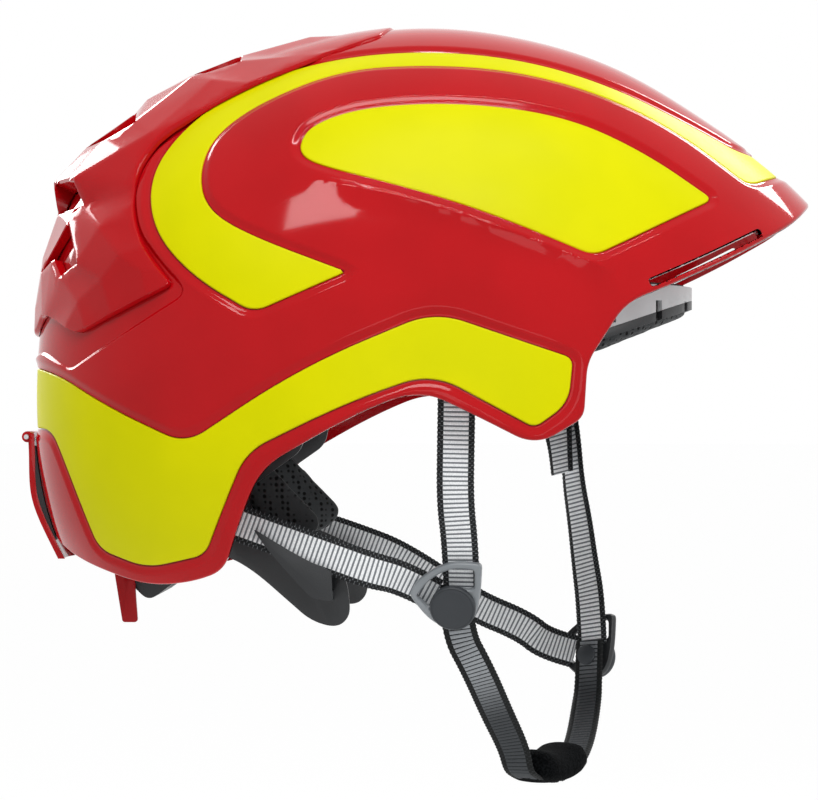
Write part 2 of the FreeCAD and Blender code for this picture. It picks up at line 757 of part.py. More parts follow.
MODULE = size("tooth_module")
TEETH = int(size("pinion_teeth"))
PITCH_RADIUS = MODULE * TEETH / 2
KNOB_UP = 2.0  # height of the knob's axle along the head's upward axis
cradle_back = -2 - cradle_long  # rear face of the cradle, along the head's forward axis
rack_front = cradle_back - 5.2
rack_back = rack_front - size("rack_thickness")
housing_back = cradle_back - size("housing_thickness") - 2.5
housing_half = size("housing_width") / 2
HOUSING_SIDE = [
    (cradle_back + 12, -27.0, 3), (cradle_back - 6.0, -31.0, 4), (housing_back, -17.5, 3),
    (housing_back + 0.6, 13.0, 4), (cradle_back - 4, 17.0, 4), (cradle_back + 12, 17.0, 3)]


def side_profile(points, half_width):
    """Rounded outline in the head's forward-upward plane, extruded to both sides."""
    return prism([(head_point(f, 0, u).x, head_point(f, 0, u).z, *rest) for f, u, *rest in points],
                 -half_width, half_width)


def head_box(low, high):
    """Box between two corners given along the head's own axes."""
    box = Part.makeBox(high[0] - low[0], high[1] - low[1], high[2] - low[2])
    box.Placement = axes(head_point(*low), FORWARD, UPWARD)
    return box


rack_reach = PITCH_RADIUS + size("rack_height") + RUNNING
cavity = head_box((rack_back - RUNNING, -housing_half - 1, KNOB_UP - rack_reach),
                  (rack_front + RUNNING, housing_half + 1, KNOB_UP + rack_reach))
housing = side_profile(HOUSING_SIDE, housing_half)
housing = housing.cut(ellipse_solid(cradle_long + SEAT, cradle_short + SEAT, HEAD_CENTRE, UPWARD, FORWARD))
axle_radius = size("axle_diameter") / 2
axle_bore = Part.makeCylinder(axle_radius + RUNNING, 12, head_point(housing_back - 4, 0, KNOB_UP), FORWARD)
tab_pin_radius = size("tab_pin_diameter") / 2
TAB_PIN = head_point(housing_back + 2.6, 0, -15.5)
tab_pin_depth = 5.0  # how far the tab's pin sits in the housing's side
tab_pin_start = Vector(TAB_PIN.x, -housing_half + tab_pin_depth, TAB_PIN.z)
tab_bore = Part.makeCylinder(tab_pin_radius + SEAT, tab_pin_depth + 1, tab_pin_start, -Y_AXIS)
node(cut("knob_housing", helper("housing_source", housing), helper("housing_cavity", cavity),
         helper("axle_bore", axle_bore), helper("tab_bore", tab_bore)))

axle_length = rack_front - (housing_back - size("knob_thickness") + 1.5)
knob_axle = primitive("Part::Cylinder", "knob_axle", axes(head_point(rack_front, 0, KNOB_UP), UPWARD, -FORWARD),
                      Radius="sizes.axle_diameter / 2")
knob_axle.Height = axle_length
node(knob_axle)

# The knob: revolved, with finger grooves round its rim
knob_place = axes(head_point(housing_back - RUNNING, 0, KNOB_UP), UPWARD, -FORWARD)
knob = new_body("size_knob", knob_place)
knob_sketch = new_sketch(knob, "knob_circle")
circle(knob_sketch, "rim", "sizes.knob_diameter / 2", size("knob_diameter") / 2)
circle(knob_sketch, "bore", "sizes.axle_diameter / 2", axle_radius)
doc.recompute()
knob_pad = pad(knob, knob_sketch, "knob_disc", "sizes.knob_thickness")
doc.recompute()
groove_sketch = new_sketch(knob, "knob_groove")
groove = groove_sketch.addGeometry(Part.Circle(Vector(size("knob_diameter") / 2 + 0.6, 0, 0), Z_AXIS, 1.6))
constrain(groove_sketch, "groove_place", "sizes.knob_diameter / 2 + 0.6", "DistanceX", -1, 1, groove, 3,
          size("knob_diameter") / 2 + 0.6)
groove_pocket = pocket(knob, groove_sketch, "knob_grooves")
grooves = knob.newObject("PartDesign::PolarPattern", "knob_groove_pattern")
grooves.Originals = [groove_pocket]
grooves.Axis = (groove_sketch, ["N_Axis"])
grooves.Angle = 360
grooves.Occurrences = 14
knob.Tip = grooves
node(knob)


def tooth_profile(root, tip, root_half, tip_half):
    """Four corners of one straight-sided tooth that points along +Y from root to tip."""
    return [Vector(-root_half, root, 0), Vector(-tip_half, tip, 0), Vector(tip_half, tip, 0),
            Vector(root_half, root, 0)]


# Pinion: all its teeth are drawn in one closed sketch line
pinion_place = axes(head_point(rack_front - (size("rack_thickness") - size("pinion_width")) / 2, 0, KNOB_UP),
                    UPWARD, -FORWARD)
pinion = new_body("knob_pinion", pinion_place)
pinion_sketch = new_sketch(pinion, "pinion_teeth_line")
corners = []
for tooth in range(TEETH):
    turn = Rotation(Z_AXIS, -360.0 * tooth / TEETH)
    corners += [turn.multVec(corner) for corner in tooth_profile(
        PITCH_RADIUS - 1.15 * MODULE, PITCH_RADIUS + 0.8 * MODULE, 0.85 * MODULE, 0.3 * MODULE)]
closed_line(pinion_sketch, corners)
circle(pinion_sketch, "bore", "sizes.axle_diameter / 2", axle_radius)
doc.recompute()
pad(pinion, pinion_sketch, "pinion_disc", "sizes.pinion_width")
node(pinion)

# Racks: toothed bars above and below the pinion, one for each side of the headband
rack_length = size("rack_length")
pitch = math.pi * MODULE
for side_name, side in (("left", 1), ("right", -1)):
    rack_place = axes(head_point(rack_front, 0, KNOB_UP), UPWARD * side, -FORWARD)
    rack = new_body(f"rack_{side_name}", rack_place)
    rack_sketch = new_sketch(rack, f"rack_line_{side_name}")
    # local X points away from the pinion, local Y along the bar, towards the piece's own side
    line = []
    first_tooth = -4
    last_tooth = int((rack_length - 16) / pitch)
    back = PITCH_RADIUS + size("rack_height")
    valley = PITCH_RADIUS + 1.0 * MODULE
    crest = PITCH_RADIUS - 0.75 * MODULE
    line.append(Vector(back, (first_tooth - 0.5) * pitch, 0))
    line.append(Vector(valley, (first_tooth - 0.5) * pitch, 0))
    for tooth in range(first_tooth, last_tooth):
        middle = (tooth + 0.5) * pitch
        line += [Vector(valley, middle - 0.75 * MODULE, 0), Vector(crest, middle - 0.25 * MODULE, 0),
                 Vector(crest, middle + 0.25 * MODULE, 0), Vector(valley, middle + 0.75 * MODULE, 0)]
    line.append(Vector(valley, (first_tooth - 0.5) * pitch + rack_length, 0))
    line.append(Vector(back, (first_tooth - 0.5) * pitch + rack_length, 0))
    closed_line(rack_sketch, line)
    doc.recompute()
    pad(rack, rack_sketch, f"rack_bar_{side_name}", "sizes.rack_thickness")
    node(rack)

# ---------------------------------------------------------------- strap posts, straps and dividers
THICK = size("strap_thickness")
WIDE = size("strap_width")
POST_THICK = size("anchor_thickness")
POST_CLEAR = 0.3  # straps lie this far from the hard pieces that hold them
screws = []
for name, (x, z, side, height) in STRAP_POSTS.items():
    outer_face = boss_end(x, z, height) - SEAT
    middle = side * (outer_face - POST_THICK / 2)
    post = rounded_box(Vector(x, middle, z), (size("anchor_width"), POST_THICK, size("anchor_height")))
    head_radius = size("screw_head_diameter") / 2
    head_start = outer_face - POST_THICK
    post = post.cut(side_cylinder(x, z, side, 0, FAR, SCREW_RADIUS + SEAT))
    sink = side_cylinder(x, z, side, head_start - 1, head_start + size("screw_head_height"), head_radius + 0.2)
    node(feature(f"strap_post_{name}", post.cut(sink)))
    head = side_cylinder(x, z, side, head_start, head_start + size("screw_head_height") - SEAT, head_radius)
    shank = side_cylinder(x, z, side, head_start, outer_face + height - 0.5, SCREW_RADIUS)
    screws.append(head.fuse(shank))
node(feature("post_screws", Part.Compound(screws)))


def strap_plane(name):
    """Distance from the middle plane of a strap's middle surface at its post."""
    x, z, side, height = STRAP_POSTS[name]
    return side * (boss_end(x, z, height) - SEAT - POST_THICK - POST_CLEAR - THICK / 2)


ARC_STEPS = 12
RIBBON_PITCH = 3.5


def smooth_route(route):
    """Evenly spaced points and across directions along arcs that touch the middle of each run."""
    knots = [(Vector(*point), Vector(*across)) for point, across in route]
    line = [knots[0]]
    middles = [((a[0] + b[0]) / 2, (a[1] + b[1]) / 2) for a, b in zip(knots, knots[1:])]
    for before, knot, after in zip(middles, knots[1:-1], middles[1:]):
        for step in range(ARC_STEPS + 1):
            t = step / ARC_STEPS
            shares = ((1 - t) ** 2, 2 * t * (1 - t), t ** 2)
            line.append(tuple(before[k] * shares[0] + knot[k] * shares[1] + after[k] * shares[2]
                              for k in range(2)))
    line.append(knots[-1])
    reached = [0.0]
    for here, ahead in zip(line, line[1:]):
        reached.append(reached[-1] + (ahead[0] - here[0]).Length)
    count = round(reached[-1] / RIBBON_PITCH)
    result = []
    index = 0
    for step in range(count + 1):
        target = reached[-1] * step / count
        while index < len(line) - 2 and reached[index + 1] < target:
            index += 1
        t = (target - reached[index]) / max(1e-9, reached[index + 1] - reached[index])
        result.append(tuple(line[index][k] * (1 - t) + line[index + 1][k] * t for k in range(2)))
    return result


def ribbon(route, width, thickness):
    """Flat strap along a route of (point, across direction)."""
    line = smooth_route(route)
    outer = []
    inner = []
    for i, (point, across) in enumerate(line):
        ahead = line[min(i + 1, len(line) - 1)][0]
        behind = line[max(i - 1, 0)][0]
        run = (ahead - behind).normalize()
        flat = (across - run * across.dot(run)).normalize()
        lift = run.cross(flat) * (thickness / 2)
        row = [point + flat * (width * (k / 3 - 0.5)) for k in range(4)]
        outer.append([place + lift for place in row])
        inner.append([place - lift for place in row])
    return thick_patch(outer, inner)


DIVIDERS = {  # side name: (disc centre, outward normal)
    "right": (spot(19.6, -75.0, -77.2), Vector(-0.138, -0.942, -0.304)),
    "left": (spot(75.0, 71.0, -108.0), Vector(0.5, 0.84, -0.2)),
}
FRAME_LINE = [(-17, 3.9, 2), (-13.8, 9.8), (-5.4, 15.9), (1.2, 17.6), (10.8, 17.4, 2.2), (10.2, 5.1), (8.4, -3.9),
              (4.5, -8.8), (-5.4, -8.4), (-10.2, -5.1), (-14.7, 0.4)]
FRAME_OPENING = [(-14.2, 3.2, 1), (-10.2, 8.9), (-4.8, 13.1), (0.8, 15.2), (8.0, 14.9, 1.5), (7.9, 7.2, 1),
                 (4.6, 6.6), (0, 7.6), (-4.6, 6.4), (-7.2, 2.4), (-7.8, -2.6, 1)]
STUD_RADIUS = size("stud_diameter") / 2
LOWER_CLEAR = 1.3  # from a divider to the lower strap behind it
frame_thick = size("divider_thickness")


def local_plate(points, scale_x, scale_y, half_thickness):
    """Rounded outline in the local XY plane, made half_thickness thick to both sides."""
    plate = prism([(x * scale_x, y * scale_y, *rest) for x, y, *rest in points], -half_thickness, half_thickness)
    plate.rotate(Vector(0, 0, 0), X_AXIS, -90)
    return plate


divider_place = {}
for side_name, (centre, normal) in DIVIDERS.items():
    side = -1 if side_name == "right" else 1
    # local Z outward, local X as near as possible to the front, so local Y points up (right) or down (left)
    place = axes(centre, X_AXIS - normal * X_AXIS.dot(normal.normalize()), normal)
    divider_place[side_name] = place
    scale_x = size("divider_length") / 27.0
    scale_y = -side * size("divider_width") / 24.5
    frame = local_plate(FRAME_LINE, scale_x, scale_y, frame_thick / 2)
    frame = frame.cut(local_plate(FRAME_OPENING, scale_x, scale_y, frame_thick))
    frame = frame.cut(Part.makeCylinder(STUD_RADIUS + SEAT, 2 * frame_thick, Vector(0, 0, -frame_thick)))
    node(feature(f"divider_{side_name}", frame, place))
    # Disc with its stud: the stud holds the lower strap behind the divider
    disc = Part.makeCylinder(size("disc_diameter") / 2, size("disc_thickness"), Vector(0, 0, frame_thick / 2 + SEAT))
    rim = [edge for edge in disc.Edges if edge.BoundBox.ZMin > frame_thick / 2 + size("disc_thickness") / 2
           and edge.Length > size("disc_diameter")]
    disc = disc.makeFillet(min(0.8, size("disc_thickness") / 3), rim)
    stud_end = -frame_thick / 2 - LOWER_CLEAR - THICK - 0.9
    stud = Part.makeCylinder(STUD_RADIUS, frame_thick / 2 + 1 - stud_end, Vector(0, 0, stud_end))
    washer = Part.makeCylinder(STUD_RADIUS + 1.6, 1.0, Vector(0, 0, stud_end - 1.0))
    node(feature(f"disc_{side_name}", disc.fuse(stud).fuse(washer), place))


def on_divider(side_name, x, up, depth):
    """World point at local (x, up) of a divider, depth behind its middle plane."""
    side = -1 if side_name == "right" else 1
    return divider_place[side_name].multVec(Vector(x, up * -side, -depth))


def divider_across(side_name, x, up):
    """World direction of local (x, up) in a divider's plane."""
    side = -1 if side_name == "right" else 1
    return divider_place[side_name].Rotation.multVec(Vector(x, up * -side, 0))


behind = frame_thick / 2 + POST_CLEAR + THICK / 2
ROUTES = {}


def post_point(name, along, up, inward=0.0):
    """Point of a strap at its post, moved along X and Z, and inward for a second layer."""
    x, z, side = STRAP_POSTS[name][:3]
    return (x + along, strap_plane(name) - side * inward, z + up)


def lean(degrees):
    """Across direction in the horizontal plane, turned inward at the front."""
    turn = math.radians(degrees)
    return (math.cos(turn), -math.sin(turn), 0)


SLOPE = (0.36, 0, 0.93)  # across direction of the rear straps
ROUTES["front_strap_right"] = [
    (post_point("front_right", 0, 5), (1, 0, 0)),
    (post_point("front_right", 0, -9), (1, 0, 0)),
    (spot(20.6, -92.0, -17), (1, 0, 0)),
    (spot(20.2, -86.0, -38), (1, 0, 0)),
    (on_divider("right", 2.0, 23.0, behind), divider_across("right", 1, 0)),
    (on_divider("right", 2.4, 9.2, behind), divider_across("right", 1, 0))]
ROUTES["rear_strap_right"] = [
    (post_point("rear_right", -7, 3), SLOPE),
    (post_point("rear_right", 8, -3.5), SLOPE),
    (spot(-64, -76.0, -45.6), SLOPE),
    (spot(-45, -75.6, -52.5), SLOPE),
    (spot(-25, -75.6, -59.5), SLOPE),
    (spot(-12, -75.8, -64.2), SLOPE),
    (on_divider("right", -20.0, 8.5, behind + 0.6), divider_across("right", 8, 16)),
    (on_divider("right", -9.6, 3.4, behind), divider_across("right", 8, 16))]
ROUTES["front_strap_left"] = [
    (post_point("front_left", 0, 5), (1, 0, 0)),
    (post_point("front_left", 0.5, -11, 0.2), (1, -0.04, 0)),
    (spot(66, 88.5, -16), lean(56)),
    (spot(66.9, 85.5, -34), lean(50)),
    (spot(69.8, 83.0, -52), lean(42)),
    (spot(71.8, 79.5, -69), lean(38)),
    (on_divider("left", 0.6, 23.0, behind), divider_across("left", 1, 0)),
    (on_divider("left", 1.0, 9.2, behind), divider_across("left", 1, 0))]
ROUTES["rear_strap_left"] = [
    (post_point("rear_left", -7, 3), SLOPE),
    (post_point("rear_left", 8, -3.5), SLOPE),
    (spot(-64, 76.0, -45.6), SLOPE),
    (spot(-45, 75.6, -52.5), SLOPE),
    (spot(-24, 75.6, -59.5), SLOPE),
    (spot(-6, 77.2, -66.5), (0.5, 0, 0.87)),
    (spot(24, 82.0, -87), (0.5, 0, 0.87)),
    (spot(46, 82.5, -96), (0.4, 0, 0.92)),
    (on_divider("left", -21.0, 6.4, behind + 0.6), divider_across("left", 3.4, 11.4)),
    (on_divider("left", -9.6, 3.0, behind), divider_across("left", 3.4, 11.4))]
for name in ("front_strap_right", "rear_strap_right", "front_strap_left", "rear_strap_left"):
    node(feature(name, ribbon(ROUTES[name], WIDE, THICK)))

# The front left strap's loose end: it comes back out between its post and the headband
second_layer = THICK + POST_CLEAR
ROUTES["strap_tail"] = [
    (post_point("front_left", -1.5, -1, second_layer + 0.15), (1, -0.02, 0)),
    (post_point("front_left", -2.0, -10, second_layer + 0.3), (1, -0.06, 0)),
    (spot(60.6, 86.2, -13), lean(34)),
    (spot(61.6, 84.0, -23), lean(48)),
    (spot(62.2, 82.6, -31), lean(50))]
node(feature("strap_tail", ribbon(ROUTES["strap_tail"], WIDE, THICK)))

# ---------------------------------------------------------------- chin loop: lower straps and pad
LOWER = size("lower_strap_width")
lower_behind = frame_thick / 2 + LOWER_CLEAR + THICK / 2
PAD_MIDDLE = Vector(at(55, 0)[0], 0, at(0, -145.5)[1])
chord = Vector(19, 44, 0).normalize()  # the pad lies across under the chin, turned with the two discs
pad_width_axis = Vector(chord.y, -chord.x, 0)
pad_half = size("chin_pad_length") / 2
pad_thick = size("chin_pad_thickness")
arch_radius = 60.0
arch_centre = PAD_MIDDLE + Z_AXIS * arch_radius


def arch_point(degrees, radius):
    """Point on an arch over the pad's length."""
    turn = math.radians(degrees)
    return arch_centre + chord * (radius * math.sin(turn)) - Z_AXIS * (radius * math.cos(turn))


arch_end = math.degrees(pad_half / arch_radius)
low_radius = arch_radius + pad_thick / 2
high_radius = arch_radius - pad_thick / 2
low_arc = [arch_point(turn, low_radius) for turn in (-arch_end, 0, arch_end)]
high_arc = [arch_point(turn, high_radius) for turn in (arch_end, 0, -arch_end)]
pad_edges = [Part.Arc(*low_arc), Part.LineSegment(low_arc[-1], high_arc[0]),
             Part.Arc(*high_arc), Part.LineSegment(high_arc[-1], low_arc[0])]
pad_face = Part.Face(Part.Wire([edge.toShape() for edge in pad_edges]))
half_pad_width = size("chin_pad_width") / 2
pad_face.translate(pad_width_axis * -half_pad_width)
chin_pad_shape = pad_face.extrude(pad_width_axis * (2 * half_pad_width))
chin_pad_shape = chin_pad_shape.makeFillet(pad_thick * 0.3, chin_pad_shape.Edges)
node(feature("chin_pad", chin_pad_shape))

under = low_radius + POST_CLEAR + THICK / 2
across_pad = tuple(pad_width_axis)


def lower_route(side_name, ways):
    """Route of a lower strap from its disc to the underside of the pad."""
    side = -1 if side_name == "right" else 1
    start = [(on_divider(side_name, 0.5, 6.2, lower_behind), divider_across(side_name, 1, 0)),
             (on_divider(side_name, 0.0, -11.5, lower_behind), divider_across(side_name, 1, 0))]
    end = [(arch_point(side * arch_end * share, under), across_pad) for share in (1.2, 0.9, 0.6, 0.3, 0.1)]
    return start + ways + end


ROUTES["chin_strap_right"] = lower_route("right", [
    (spot(28.5, -62.0, -103), (1, -0.1, 0.25)),
    (spot(35.5, -44.0, -121), (0.95, -0.2, 0.3)),
    (spot(42, -30.0, -136), (0.92, -0.3, 0.2))])
ROUTES["chin_strap_left"] = lower_route("left", [
    (spot(72, 57.5, -127), (0.9, -0.4, 0)),
    (spot(69.5, 41.0, -138.5), (0.9, -0.4, 0))])
for side_name in ("right", "left"):
    strap = ribbon(ROUTES[f"chin_strap_{side_name}"], LOWER, THICK)
    hole = Part.makeCylinder(STUD_RADIUS + 0.7, 14, Vector(0, 0, -14))
    hole.Placement = divider_place[side_name]
    node(feature(f"chin_strap_{side_name}", strap.cut(hole)))

# ---------------------------------------------------------------- rear pieces
# Lamp clip: a bridge along the shell's rear, hinged on the shell's lugs at its upper end
clip_gap = 0.7
clip_room = 1.9  # height of the space for a lamp strap in the clip's middle
clip_thick = size("clip_thickness")


def clip_offset(point):
    """Inner face of the clip over the shell: near it at both ends, higher in the middle."""
    low, high = at(0, -60)[1], at(0, -16)[1]
    share = min(1.0, max(0.0, (point.z - low) / (high - low)))
    return clip_gap + clip_room * math.sin(math.pi * share) ** 2


clip_outline = outline((-175, -13.4, 0), (-120, -13.4, 0), (-120, -63, 0), (-175, -63, 0))
clip_plate = layer(clip_offset, lambda point: clip_offset(point) + clip_thick)
clip_plate = clip_plate.common(prism(clip_outline, -clip_half, clip_half))
clip_knuckle = Part.makeCylinder(knuckle_radius, 2 * clip_half, CLIP_PIN - Y_AXIS * clip_half, Y_AXIS)
clip_keep_out = layer(-20.0, clip_gap - 0.1)
clip_shape = clip_plate.fuse(clip_knuckle.cut(clip_keep_out)).cut(pin_hole)
node(feature("rear_lamp_clip", clip_shape))
clip_pin = primitive("Part::Cylinder", "clip_pin",
                     Placement(CLIP_PIN - Y_AXIS * (clip_half + lug_width), Rotation(X_AXIS, -90)),
                     Radius="sizes.clip_pin_diameter / 2 - 0.05")
clip_pin.Height = 2 * (clip_half + lug_width)
node(clip_pin)

# Pull tab: hangs on a headed pin in the right side wall of the housing
tab_thick = size("tab_thickness")
tab_half = size("tab_width") / 2
tab_side = -housing_half - 0.6  # the tab's inner face
tab_middle = Vector(TAB_PIN.x - 0.8, tab_side - tab_thick / 2, TAB_PIN.z - size("tab_length") / 2 + tab_half / 2)
tab_sheet = rounded_box(tab_middle, (2 * tab_half, tab_thick, size("tab_length")))
corner_edges = [edge for edge in tab_sheet.Edges if abs(edge.tangentAt(edge.FirstParameter).y) > 0.9]
tab_sheet = tab_sheet.makeFillet(1.5, corner_edges)
tab_hole_start = Vector(TAB_PIN.x, tab_side + tab_thick, TAB_PIN.z)
tab_hole = Part.makeCylinder(tab_pin_radius + 0.15, 3 * tab_thick, tab_hole_start, -Y_AXIS)
node(feature("rear_tab", tab_sheet.cut(tab_hole)))
tab_pin_end = tab_side - tab_thick - 0.3
tab_pin_shank = Part.makeCylinder(tab_pin_radius, -tab_pin_end - housing_half + tab_pin_depth, tab_pin_start, -Y_AXIS)
tab_pin_head = Part.makeCylinder(tab_pin_radius + 1.0, 1.0, Vector(TAB_PIN.x, tab_pin_end, TAB_PIN.z), -Y_AXIS)
node(feature("tab_pin", tab_pin_shank.fuse(tab_pin_head)))

# ---------------------------------------------------------------- build, check and write
doc.recompute()
os.makedirs(PARTS_FOLDER, exist_ok=True)
for item in doc.Objects:
    if "Invalid" in item.State or "Error" in item.State:
        raise RuntimeError(f"{item.Label} failed: {item.State}")
for item in NODES:
    if item.Shape.isNull() or not item.Shape.isValid():
        raise RuntimeError(f"{item.Label} has no valid shape")
for item in NODES:
    item.Shape.exportStep(os.path.join(PARTS_FOLDER, item.Label + ".step"))
print(len(NODES), "parts written")
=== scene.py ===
"""Hard hat with a four-strap chin harness: the look of every piece, dressed over its frame.

Lengths are written in millimetres and turned into metres where a mesh is made. +X is the front, +Y the
wearer's left, +Z up; the helmet is kept nose up, as it is worn with the head tilted back.
"""
import logging
import math
from dataclasses import dataclass, field
from enum import Enum
from typing import Callable, Iterable, Optional, Sequence

import bmesh
import bpy
import numpy as np
from mathutils import Matrix, Vector, geometry, kdtree


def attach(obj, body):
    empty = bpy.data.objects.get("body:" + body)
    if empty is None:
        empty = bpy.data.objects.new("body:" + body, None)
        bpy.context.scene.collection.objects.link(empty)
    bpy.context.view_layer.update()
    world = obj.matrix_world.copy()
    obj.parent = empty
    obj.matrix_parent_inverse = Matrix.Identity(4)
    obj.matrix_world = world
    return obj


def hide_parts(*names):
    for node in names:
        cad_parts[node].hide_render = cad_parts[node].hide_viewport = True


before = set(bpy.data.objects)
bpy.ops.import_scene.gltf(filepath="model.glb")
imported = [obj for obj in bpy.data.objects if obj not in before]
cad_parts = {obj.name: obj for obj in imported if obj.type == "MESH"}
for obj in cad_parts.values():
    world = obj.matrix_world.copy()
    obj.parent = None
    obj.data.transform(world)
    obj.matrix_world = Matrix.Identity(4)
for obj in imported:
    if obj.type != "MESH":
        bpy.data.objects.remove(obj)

MM = 0.001
MERGE_REACH = 0.00001  # metres
LOG = logging.getLogger("helmet")
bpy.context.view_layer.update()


# ------------------------------------------------------------------------------ shader sums
class Socket:
    """An output of a shader node, or a plain number, that takes part in sums."""

    def __init__(self, tree: "Finish", value) -> None:
        """Keep the tree and the socket or number."""
        self.tree = tree
        self.value = value

    def _math(self, operation: str, *others) -> "Socket":
        """Add one Math node over this value and the others."""
        values = [self.value] + [other.value if isinstance(other, Socket) else other for other in others]
        return self.tree.add("ShaderNodeMath", {"operation": operation}, dict(enumerate(values)))

    def __add__(self, other) -> "Socket":
        """Sum."""
        return self._math("ADD", other)

    __radd__ = __add__

    def __sub__(self, other) -> "Socket":
        """Difference."""
        return self._math("SUBTRACT", other)

    def __rsub__(self, other) -> "Socket":
        """Difference, reflected."""
        return Socket(self.tree, other)._math("SUBTRACT", self)

    def __mul__(self, other) -> "Socket":
        """Product."""
        return self._math("MULTIPLY", other)

    __rmul__ = __mul__

    def __truediv__(self, other) -> "Socket":
        """Quotient."""
        return self._math("DIVIDE", other)

    def cosine(self) -> "Socket":
        """Cosine."""
        return self._math("COSINE")

    def size(self) -> "Socket":
        """Absolute value."""
        return self._math("ABSOLUTE")

    def ramp(self, low: float, high: float) -> "Socket":
        """Smooth rise from 0 at low to 1 at high."""
        return self.tree.add("ShaderNodeMapRange", {"interpolation_type": "SMOOTHSTEP"},
                             {"Value": self.value, "From Min": low, "From Max": high})


Colour = tuple[float, float, float]


@dataclass(frozen=True)
class Plastic:
    """A moulded plastic: its colour, gloss and moulded grain.

    Args of the fields: colour and shade are linear colours, grain_size the grain's width in mm, grain
    its height in mm, gloss the strength of its reflections.
    """

    name: str
    colour: Colour
    shade: Colour
    roughness: float
    grain: float = 0.0
    grain_size: float = 0.6
    metallic: float = 0.0
    gloss: float = 0.5


class Finish:
    """A node material under construction."""

    def __init__(self, name: str) -> None:
        """Start an empty material with a surface shader."""
        self.material = bpy.data.materials.new(name)
        self.material.use_nodes = True
        self.nodes = self.material.node_tree.nodes
        self.links = self.material.node_tree.links
        self.shader = self.nodes["Principled BSDF"]

    def add(self, kind: str, settings: Optional[dict] = None, inputs: Optional[dict] = None,
            output=0) -> Socket:
        """Add a node.

        Args:
            kind: the node's type.
            settings: its own settings, set first.
            inputs: values or links of its sockets by name or number.
            output: the output to return.

        Returns:
            The chosen output.
        """
        node = self.nodes.new(kind)
        for key, value in (settings or {}).items():
            if key == "stops":
                self._stops(node.color_ramp, value)
            else:
                setattr(node, key, value)
        for key, value in (inputs or {}).items():
            self.feed(node.inputs[key], value)
        return Socket(self, node.outputs[output])

    @staticmethod
    def _stops(ramp: bpy.types.ColorRamp, stops: Sequence[tuple[float, Colour]]) -> None:
        """Set a ramp's stops."""
        for place, colour in stops[1:-1]:
            ramp.elements.new(place)
        for element, (place, colour) in zip(ramp.elements, stops):
            element.position = place
            element.color = (*colour, 1.0)

    def feed(self, target: bpy.types.NodeSocket, value) -> None:
        """Link or set one socket."""
        if isinstance(value, Socket):
            value = value.value
        if isinstance(value, bpy.types.NodeSocket):
            self.links.new(value, target)
        elif isinstance(value, tuple) and len(value) == 3 and len(target.default_value) == 4:
            target.default_value = (*value, 1.0)
        else:
            target.default_value = value

    def surface(self, **values) -> None:
        """Feed the surface shader's sockets, named with _ for a space."""
        for key, value in values.items():
            self.feed(self.shader.inputs[key.replace("_", " ")], value)

    def place(self) -> Socket:
        """Object coordinates in metres."""
        return self.add("ShaderNodeTexCoord", output="Object")

    def noise(self, size_mm: float, detail: float = 2.0, source: Optional[Socket] = None) -> Socket:
        """Noise of about size_mm, from 0 to 1."""
        where = source or self.place()
        return self.add("ShaderNodeTexNoise", {}, {"Vector": where, "Scale": 1000.0 / size_mm,
                                                   "Detail": detail, "Roughness": 0.55})

    def mix(self, share, low, high) -> Socket:
        """Colour mixed from low to high."""
        return self.add("ShaderNodeMix", {"data_type": "RGBA"}, {0: share, 6: low, 7: high}, output=2)

    def bump(self, height, depth_mm: float, before: Optional[Socket] = None) -> Socket:
        """Bump of a height from 0 to 1 that stands for depth_mm."""
        inputs = {"Height": height, "Distance": depth_mm * MM, "Strength": 1.0}
        if before:
            inputs["Normal"] = before
        return self.add("ShaderNodeBump", {}, inputs)


def plastic_material(look: Plastic) -> bpy.types.Material:
    """Material of a moulded plastic.

    Args:
        look: the plastic's colour and grain.

    Returns:
        The material.
    """
    finish = Finish(look.name)
    cloud = finish.noise(38.0, 2.0).ramp(0.3, 0.7)
    finish.surface(Base_Color=finish.mix(cloud, look.colour, look.shade), Metallic=look.metallic,
                   Specular_IOR_Level=look.gloss)
    scuff = finish.noise(7.0, 4.0).ramp(0.45, 0.8)
    finish.surface(Roughness=look.roughness + scuff * (0.12 * look.roughness))
    if look.grain:
        finish.surface(Normal=finish.bump(finish.noise(look.grain_size, 2.0), look.grain))
    return finish.material


# ------------------------------------------------------------------------------ meshes by hand
def new_piece(name: str, points: np.ndarray, faces: Sequence, look: bpy.types.Material,
              normals: Optional[np.ndarray] = None) -> bpy.types.Object:
    """Make an object from points in millimetres.

    Args:
        name: the piece's name.
        points: corner places, one row each.
        faces: corner numbers of each face, outward side counter-clockwise.
        look: its material.
        normals: shading normals of the corners, where the surface is known exactly.

    Returns:
        The new object, at the origin.
    """
    mesh = bpy.data.meshes.new(name)
    mesh.from_pydata([tuple(point) for point in np.asarray(points, float) * MM], [],
                     [tuple(int(corner) for corner in face) for face in faces])
    mesh.materials.append(look)
    mesh.validate()
    mesh.shade_smooth()
    if normals is not None:
        mesh.normals_split_custom_set_from_vertices([tuple(normal) for normal in normals])
    piece = bpy.data.objects.new(name, mesh)
    bpy.context.scene.collection.objects.link(piece)
    return piece


def choose(piece: bpy.types.Object) -> None:
    """Deselect everything, then select and activate one piece."""
    for other in bpy.context.selected_objects:
        other.select_set(False)
    piece.select_set(True)
    bpy.context.view_layer.objects.active = piece


def apply_modifier(piece: bpy.types.Object, kind: str, **settings) -> None:
    """Add a modifier with these settings and apply it."""
    choose(piece)
    modifier = piece.modifiers.new(kind.lower(), kind)
    for key, value in settings.items():
        setattr(modifier, key, value)
    bpy.ops.object.modifier_apply(modifier=modifier.name)


def face_outward(piece: bpy.types.Object) -> None:
    """Turn every face of a closed piece outwards."""
    choose(piece)
    bpy.ops.object.mode_set(mode="EDIT")
    bpy.ops.mesh.select_all(action="SELECT")
    bpy.ops.mesh.normals_make_consistent(inside=False)
    bpy.ops.object.mode_set(mode="OBJECT")


